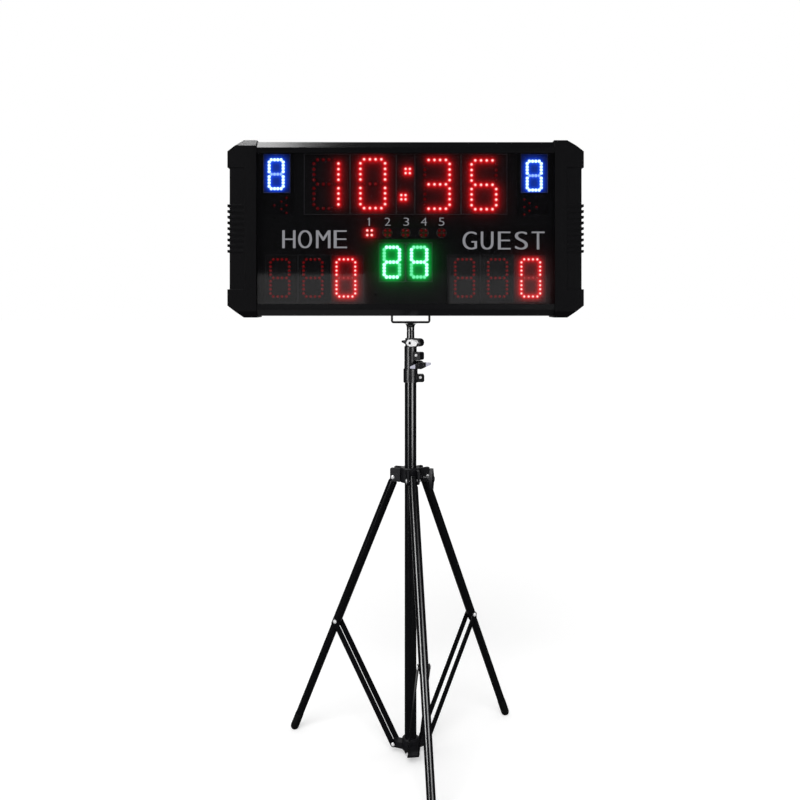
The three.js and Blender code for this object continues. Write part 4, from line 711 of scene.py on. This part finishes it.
# --- Tray. A folded steel sheet, painted matt black, carries the modules on its front.
# The light of the digits washes faintly over it between the modules, painted on as a glow.
SHEET = 0.0015
low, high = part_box("module_tray")
tray = block("module_tray_sheet", low, (high.x, low.y + SHEET, high.z))
pick_faces(tray, faces_front)
bpy.ops.mesh.subdivide(number_cuts=90)
bpy.ops.object.mode_set(mode="OBJECT")
upper_flange = block("flange", (low.x, low.y, high.z - SHEET), high)
lower_flange = block("flange", low, (high.x, high.y, low.z + SHEET))
tray = join_all([tray, upper_flange, lower_flange], "module_tray_sheet")
paint_led_glow(tray, [light for light in lit if light[-1] != spill[BLUE][-1]], 0.5)
dress(tray, plastic_showing_painted_glow("matt_black_tray", (0.008, 0.008, 0.010)), "head")
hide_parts("module_tray")


# --- Words and numbers. HOME, GUEST and the period numbers are screen printed in grey on the pane.
# Each is laid down in three thin passes, side by side, which makes its upright strokes the broader ones.
PRINT, FILM = -0.03975, 0.00002
ink = surface("grey_screen_ink", (0.25, 0.25, 0.27), 0.6, specular=0.3, cloud=(90, 0.12))


def printed(text, name, left, right, bottom, top, thin, spread):
    """One character on the front of the pane, fitted to a box in millimetres."""
    bpy.ops.object.text_add(location=(0, 0, 0))
    word = bpy.context.object
    word.data.body = text
    word.data.offset = -thin
    bpy.ops.object.convert(target="MESH")
    word = bpy.context.object
    word.name = name
    xs, ys = [v.co.x for v in word.data.vertices], [v.co.y for v in word.data.vertices]
    wide = (right - left - 2 * spread) / 1000 / (max(xs) - min(xs))
    tall = (top - bottom) / 1000 / (max(ys) - min(ys))
    word.scale = (wide, tall, 1)
    word.rotation_euler = (math.radians(90), 0, 0)
    word.location = ((left + spread) / 1000 - min(xs) * wide, PRINT, bottom / 1000 - min(ys) * tall)
    settle(word)
    passes = [copy_of(word, "pass", (side * spread / 1000, -FILM * (side + 2), 0)) for side in (-1, 1)]
    dress(join_all([word, *passes], name), ink, "head")


home_word = (("H", -298.5, -267.5), ("O", -261.7, -229.3), ("M", -220.2, -186.4), ("E", -179.0, -148.0))
guest_word = (("G", 120.4, 153.8), ("U", 162.6, 192.2), ("E", 202.4, 232.1), ("S", 240.9, 271.9),
              ("T", 280.7, 310.8))
for team, bottom, top, letters in (("home", 1193.4, 1234.9, home_word),
                                   ("guest", 1190.4, 1231.9, guest_word)):
    for index, (letter, left, right) in enumerate(letters):
        spread = 0.8 if letter == "E" else 1.3
        printed(letter, f"{team}_letter_{index + 1}", left, right, bottom, top, 0.016, spread)
for index, (left, right) in enumerate(((-97.7, -94.9), (-60.6, -47.0), (-17.4, -4.0), (23.4, 37.6),
                                       (64.6, 78.0))):
    printed(str(index + 1), f"period_number_{index + 1}", left, right, 1245.6, 1264.1, 0.014, 0.1)
flag = block("period_number_1_flag", (-0.0024, PRINT - FILM, -0.0009), (0.0024, PRINT, 0.0009))
flag.rotation_euler = (0, math.radians(-38), 0)
flag.location = (-0.0984, 0, 1.2612)
dress(settle(flag), ink, "head")


# --- Receiver eyes. Two small dark lenses for the remote control sit flush behind the pane.
eye_black = surface("receiver_eye", (0.002, 0.002, 0.002), 0.1, specular=0.8, cloud=(50, 0.1))
for index, (x, z, radius) in enumerate(((-0.0817, 1.0857, 0.0032), (-0.3187, 1.2643, 0.0022))):
    eye = ringed(f"receiver_eye_{index + 1}",
                 [(0, radius), (0.002, radius), (0.0033, radius * 0.75), (0.004, radius * 0.3)],
                 (x, -0.0263, z), (0, -1, 0), 24)
    dress(eye, eye_black, "head")


# --- Back. A flat steel sheet, powder coated black, closes the casing, held by eight cross-head screws.
# It carries the sound slots and the power inlet. The electronics behind it show only through the slots.
powder = surface("black_powder_coat", (0.012, 0.012, 0.013), 0.48, specular=0.4,
                 grain=(520, 0.00035), cloud=(5, 0.2))
dress(softened("back_panel", "back_sheet", 0.0003, 2), powder)
for index, (x, z) in enumerate([(x, z) for x in (-0.33, -0.12, 0.096, 0.306) for z in (1.083, 1.395)]):
    screw = copy_of(cap_screw, f"back_screw_{index + 1}", (x, 0.0396, z),
                    (math.radians(-90), 0, 0.3 * index))
    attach(screw, "head")
bpy.data.objects.remove(cap_screw)
board_green = surface("green_circuit_board", (0.012, 0.09, 0.03), 0.45, cloud=(60, 0.25))
inner_steel = surface("bare_inner_sheet", (0.42, 0.42, 0.43), 0.4, metallic=0.9, grain=(300, 0.00005))
for hidden, finish in (("power_supply", inner_steel), ("controller_board", board_green),
                       ("buzzer", cap_plastic)):
    nodes[hidden].data.materials[0] = finish
inlet_plastic = surface("black_inlet_plastic", (0.010, 0.010, 0.011), 0.32, specular=0.45,
                        grain=(2200, 0.00006))
inlet = softened("power_inlet", "inlet_housing", 0.0004, 2)
dress(inlet, inlet_plastic)
nickel = surface("nickel_contact", (0.62, 0.60, 0.56), 0.28, metallic=1.0, cloud=(200, 0.08))
INLET_X = 0.248
paint_faces(inlet, nickel, lambda centre, normal: abs(centre.x - INLET_X) < 0.0085
            and 0.0262 < centre.y < 0.0372 and 1.1120 < centre.z < 1.1213)
dress(softened("power_rocker", "switch_rocker", 0.0005, 3), inlet_plastic)
white_mark = surface("white_switch_mark", (0.75, 0.75, 0.74), 0.5, cloud=(300, 0.06))
on_mark = block("switch_on_mark", (INLET_X - 0.0004, 0.04065, 1.1460), (INLET_X + 0.0004, 0.04085, 1.1501))
dress(round_edges(on_mark, 0.00005, 1), white_mark, "rocker")
bpy.ops.mesh.primitive_torus_add(major_radius=0.0019, minor_radius=0.0003, major_segments=32,
                                 minor_segments=8, location=(INLET_X, 0.04236, 1.13819),
                                 rotation=(math.radians(-70.9), 0, 0))
off_mark = bpy.context.object
off_mark.name = "switch_off_mark"
dress(shaded(settle(off_mark)), white_mark, "rocker")


# --- Bracket. A strip of steel bent into a flat U and welded to a flared neck, in gloss black paint.
# Two socket-head screws go from inside the bottom rail into the tops of its arms.
gloss_black = surface("gloss_black_paint", (0.0028, 0.0028, 0.0036), 0.15, specular=1.0,
                      grain=(420, 0.00002), cloud=(11, 0.3))
bracket_paint = gloss_black.copy()
bracket_paint.name = "lacquered_black_paint"
bracket_shader = bracket_paint.node_tree.nodes["Principled BSDF"]
bracket_shader.inputs["Coat Weight"].default_value = 1.0
bracket_shader.inputs["Coat Roughness"].default_value = 0.12
dress(softened("mount_bracket", "bracket_strip", 0.0006, 3), bracket_paint)
# Zinc-plated steel, near white and hardly metallic: partly its own colour, partly a painted glint.
bolt_steel_and_painted_glint = surface("zinc_plated_steel_painted_glint", (0.93, 0.93, 0.94), 0.3, metallic=0.2,
                     grain=(500, 0.00004), cloud=(120, 0.06))
for side in ("left", "right"):
    low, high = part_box(f"{side}_bracket_bolt")
    top = ((low.x + high.x) / 2, 0, high.z)
    length = high.z - low.z
    bolt = ringed(f"{side}_socket_bolt",
                  [(0, 0.0027), (0.0003, 0.003), (0.002, 0.003), (0.00201, 0.0015),
                   (length - 0.0004, 0.0015), (length, 0.0011)], top, (0, 0, -1), 32)
    cut_with(bolt, ringed("socket", [(-0.001, 0.00125), (0.0012, 0.00125)], top, (0, 0, -1), 6))
    dress(shaded(bolt), bolt_steel_and_painted_glint, "head")
    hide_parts(f"{side}_bracket_bolt")


# --- Mast. Three steel tubes slide in each other, each in gloss black paint with drawn lines along it.
# Their ends are cut square and deburred.
tube_paint = surface("gloss_tube_paint", (0.0026, 0.0027, 0.0036), 0.16, specular=1.0, cloud=(14, 0.35),
                     streak=(2, 500, 0.03))


def pipe(name, start, end, radius, wall, sides=64):
    """A tube between two points, open at both ends."""
    start, end = Vector(start), Vector(end)
    axis = end - start
    bpy.ops.mesh.primitive_cylinder_add(vertices=sides, radius=radius, depth=axis.length,
                                        end_fill_type="NOTHING", location=(start + end) / 2,
                                        rotation=axis.to_track_quat("Z", "Y").to_euler())
    tube = settle(bpy.context.object)
    tube.name = name
    thickness = tube.modifiers.new("wall", "SOLIDIFY")
    thickness.thickness = wall
    thickness.offset = -1
    bpy.ops.object.modifier_apply(modifier="wall")
    return round_edges(tube, 0.0003, 2, angle=60)


for tube_node, body in (("main_tube", "column"), ("middle_tube", "middle_mast"), ("top_tube", "top_mast")):
    low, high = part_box(tube_node)
    tube = pipe(f"{tube_node}_steel", (0, 0, low.z), (0, 0, high.z), high.x, 0.0015)
    dress(tube, tube_paint, body)
    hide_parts(tube_node)


# --- Clamps. Two split nylon clamps join the tubes. Each is closed by a pinch bolt and a wing screw.
# The wing screws are cast in a pale zinc alloy. The upper one is pale only in a window, a painted
# highlight, is painted black on its tips as painted shade, and has a black plug; the lower one is a darker
# copy of the zinc, painted shade, and is painted black in its middle.
nylon = surface("black_glass_filled_nylon", (0.006, 0.006, 0.008), 0.28, specular=0.7,
                grain=(1100, 0.00008), cloud=(30, 0.25))
bright_wing = surface("bright_zinc_wing", (0.97, 0.975, 0.99), 0.36, metallic=0.15,
                      grain=(700, 0.00012), cloud=(60, 0.1))
# The lower wing's zinc: a darker copy of the upper's, painted shade.
wing_painted_shade = surface("zinc_wing_painted_shade", (0.56, 0.56, 0.66), 0.4, metallic=0.15,
                    grain=(700, 0.00012), cloud=(60, 0.15))
BOSS_REACH, PINCH_HEIGHT, SCREW_HEIGHT, SCREW_FRONT = 0.023, 0.0125, 0.042, 0.037
for level, turn, base in (("lower", 0.0, 0.878), ("upper", math.radians(-35), 0.931)):
    out = Vector((math.cos(turn), math.sin(turn), 0))
    along = Vector((-math.sin(turn), math.cos(turn), 0))
    pinch = out * BOSS_REACH + Vector((0, 0, base + PINCH_HEIGHT))
    clamp = softened(f"{level}_clamp", f"{level}_clamp_moulding", 0.0006, 2)
    dress(clamp, nylon)

    def on_pinch_bolt(centre, normal):
        """Tells whether a face of the clamp belongs to its pinch bolt's ends."""
        aside = (centre - pinch).dot(along)
        return abs(aside) > 0.0091 and (centre - pinch - along * aside).length < 0.0035

    paint_faces(clamp, bolt_steel_and_painted_glint, on_pinch_bolt)
    wing = softened(f"{level}_wing_screw", f"{level}_wing_casting", 0.0011, 3)
    dress(wing, bright_wing if level == "upper" else wing_painted_shade)
    front = out * BOSS_REACH - along * SCREW_FRONT + Vector((0, 0, base + SCREW_HEIGHT))
    # The upper wing is pale only in a window, a painted highlight, and black outside it, painted shade on
    # its tips.
    if level == "upper":
        borders = [(out * reach, out / reach + Vector((0, 0, rise)))
                   for reach in (-0.0125, 0.0195) for rise in (-100, 100)]
    else:
        borders = [(out * reach, out / reach) for reach in (-0.0128, 0.0123)]
    only(wing)
    bpy.ops.object.mode_set(mode="EDIT")
    for place, slope in borders:
        bpy.ops.mesh.select_all(action="SELECT")
        bpy.ops.mesh.bisect(plane_co=front + place, plane_no=slope)
    bpy.ops.object.mode_set(mode="OBJECT")

    def is_painted_dark(centre, normal):
        """Tells whether a face of the wing is painted dark: outside the upper's borders, as painted shade
        on its tips, and inside the lower's.
        """
        inside = all((centre - front - place).dot(slope) < 0 for place, slope in borders)
        return inside != (level == "upper")

    paint_faces(wing, nylon, is_painted_dark)
    shaded(wing)
    if level == "upper":
        plug = ringed("upper_wing_plug", [(-0.0005, 0.0036), (0.0003, 0.0036), (0.0007, 0.0027)],
                      front, -along, 24)
        dress(plug, nylon, "upper_screw")


# --- Collar. A nylon ring slides on the main tube with three pairs of ears for the legs.
# A black nylon wing screw locks it.
matt_nylon = surface("matt_black_nylon", (0.009, 0.009, 0.011), 0.42, specular=0.2,
                     grain=(1100, 0.00012), cloud=(30, 0.25))
dress(softened("leg_collar", "collar_moulding", 0.0007, 2), matt_nylon)
knob_nylon = surface("satin_black_nylon", (0.008, 0.008, 0.010), 0.4, specular=0.35, grain=(900, 0.00003))
dress(softened("collar_wing_screw", "collar_wing_moulding", 0.0011, 3), knob_nylon)


# --- Legs. Three steel tubes lean out from the collar, each with a wider tube over its upper half
# and a moulded rubber tip on the ground. Two flat bars hold each to the hub.
# Every rivet has a domed head of pale steel, whose near-white colour is partly a painted glint.
LEAN = math.atan2(0.154, 0.366)
PIN_REACH, COLLAR_PIN, HUB_PIN = 0.04, 0.653, 0.018
KNEE_DOWN, FOOT_DOWN = 0.3971, 0.7017
LEG_RADIUS, SLEEVE_RADIUS, TIP_RADIUS, GROOVE_RADIUS = 0.0095, 0.0108, 0.0102, 0.0099
HEAD_RISE = 0.0024
rubber = surface("black_rubber", (0.0032, 0.0032, 0.0035), 0.62, specular=0.2,
                 grain=(900, 0.0002), cloud=(50, 0.35))
# Pale steel, near white and hardly metallic: partly its own colour, partly a painted glint.
rivet_steel_and_painted_glint = surface("pale_rivet_steel_painted_glint", (0.93, 0.93, 0.94), 0.26, metallic=0.3,
                      grain=(600, 0.00003), cloud=(150, 0.06))
for leg, azimuth in (("front", 7.6), ("right", 127.6), ("left", 247.6)):
    turn = math.radians(azimuth)
    out = Vector((math.sin(turn), -math.cos(turn), 0))
    across = Vector((math.cos(turn), math.sin(turn), 0))
    pivot = out * PIN_REACH + Vector((0, 0, COLLAR_PIN))
    down = out * math.sin(LEAN) - Vector((0, 0, math.cos(LEAN)))
    knee = pivot + down * KNEE_DOWN
    foot = pivot + down * FOOT_DOWN
    tube = pipe("tube", pivot - down * 0.009, foot - down * 0.005, LEG_RADIUS, 0.0015)
    sleeve = pipe("sleeve", pivot + down * 0.014, knee + down * 0.013, SLEEVE_RADIUS, 0.0013)
    tube = join_all([tube, sleeve], f"{leg}_leg_tube")
    dress(tube, tube_paint, f"{leg}_leg")
    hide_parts(f"{leg}_leg")

    dome = [(TIP_RADIUS * (1 - math.cos(math.radians(a))), TIP_RADIUS * math.sin(math.radians(a)))
            for a in (8, 25, 42, 58, 74, 90)]
    barrel = [(0.034, TIP_RADIUS), (0.0346, GROOVE_RADIUS), (0.0358, GROOVE_RADIUS), (0.0364, TIP_RADIUS),
              (0.0446, TIP_RADIUS), (0.0452, 0.0098)]
    tip = ringed(f"{leg}_rubber_tip", dome + barrel, foot + down * 0.0112, -down)
    only(tip)
    bpy.ops.object.mode_set(mode="EDIT")
    bpy.ops.mesh.select_all(action="SELECT")
    bpy.ops.mesh.bisect(plane_co=(0, 0, GROUND), plane_no=(0, 0, -1), use_fill=True, clear_outer=True,
                        threshold=0.000001)
    bpy.ops.object.mode_set(mode="OBJECT")
    dress(shaded(tip), rubber, f"{leg}_leg")
    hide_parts(f"{leg}_foot")

    for half in ("a", "b"):
        bar = softened(f"{leg}_strut_bar_{half}", f"{leg}_strut_{half}", 0.0004, 2)
        dress(bar, gloss_black)

        def on_rivet(centre, normal):
            """Tells whether a face of the bar belongs to the rivet's head at the knee."""
            aside = (centre - knee).dot(across)
            return abs(aside) > 0.01355 and (centre - knee - across * aside).length < 0.0052

        paint_faces(bar, rivet_steel_and_painted_glint, on_rivet)
    hub_pivot = out * PIN_REACH + Vector((0, 0, HUB_PIN))
    for place, grip, centre in (("collar", 0.01505, pivot), ("hub", 0.01365, hub_pivot)):
        length = 2 * (grip + HEAD_RISE)
        near = [(0, 0.0013), (0.0005, 0.0027), (0.0013, 0.0038), (HEAD_RISE, 0.0045)]
        far = [(length - height, radius) for height, radius in reversed(near)]
        shaft = [(HEAD_RISE + 0.00002, 0.003), (length - HEAD_RISE - 0.00002, 0.003)]
        rivet = ringed(f"{leg}_{place}_rivet", near + shaft + far, centre - across * length / 2,
                       across, 32)
        dress(rivet, rivet_steel_and_painted_glint, nodes[f"{leg}_{place}_pin"]["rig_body"])
        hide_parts(f"{leg}_{place}_pin")


# --- Hub. A nylon barrel on the foot of the mast with three lugs between the struts' bars.
# A rounded rubber cap plugs its underside.
dress(softened("base_hub", "hub_moulding", 0.0007, 2), matt_nylon)
ROUNDING = 0.005
underside = [(ROUNDING * (1 - math.cos(math.radians(a))), 0.010 + ROUNDING * math.sin(math.radians(a)))
             for a in (0, 18, 36, 54, 72, 90)]
foot_plug = ringed("mast_foot_plug", underside + [(0.0102, 0.015), (0.0107, 0.0145), (0.0187, 0.008)],
                   (0, 0, 0), (0, 0, 1))
dress(foot_plug, rubber, "column")
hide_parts("foot_cap")
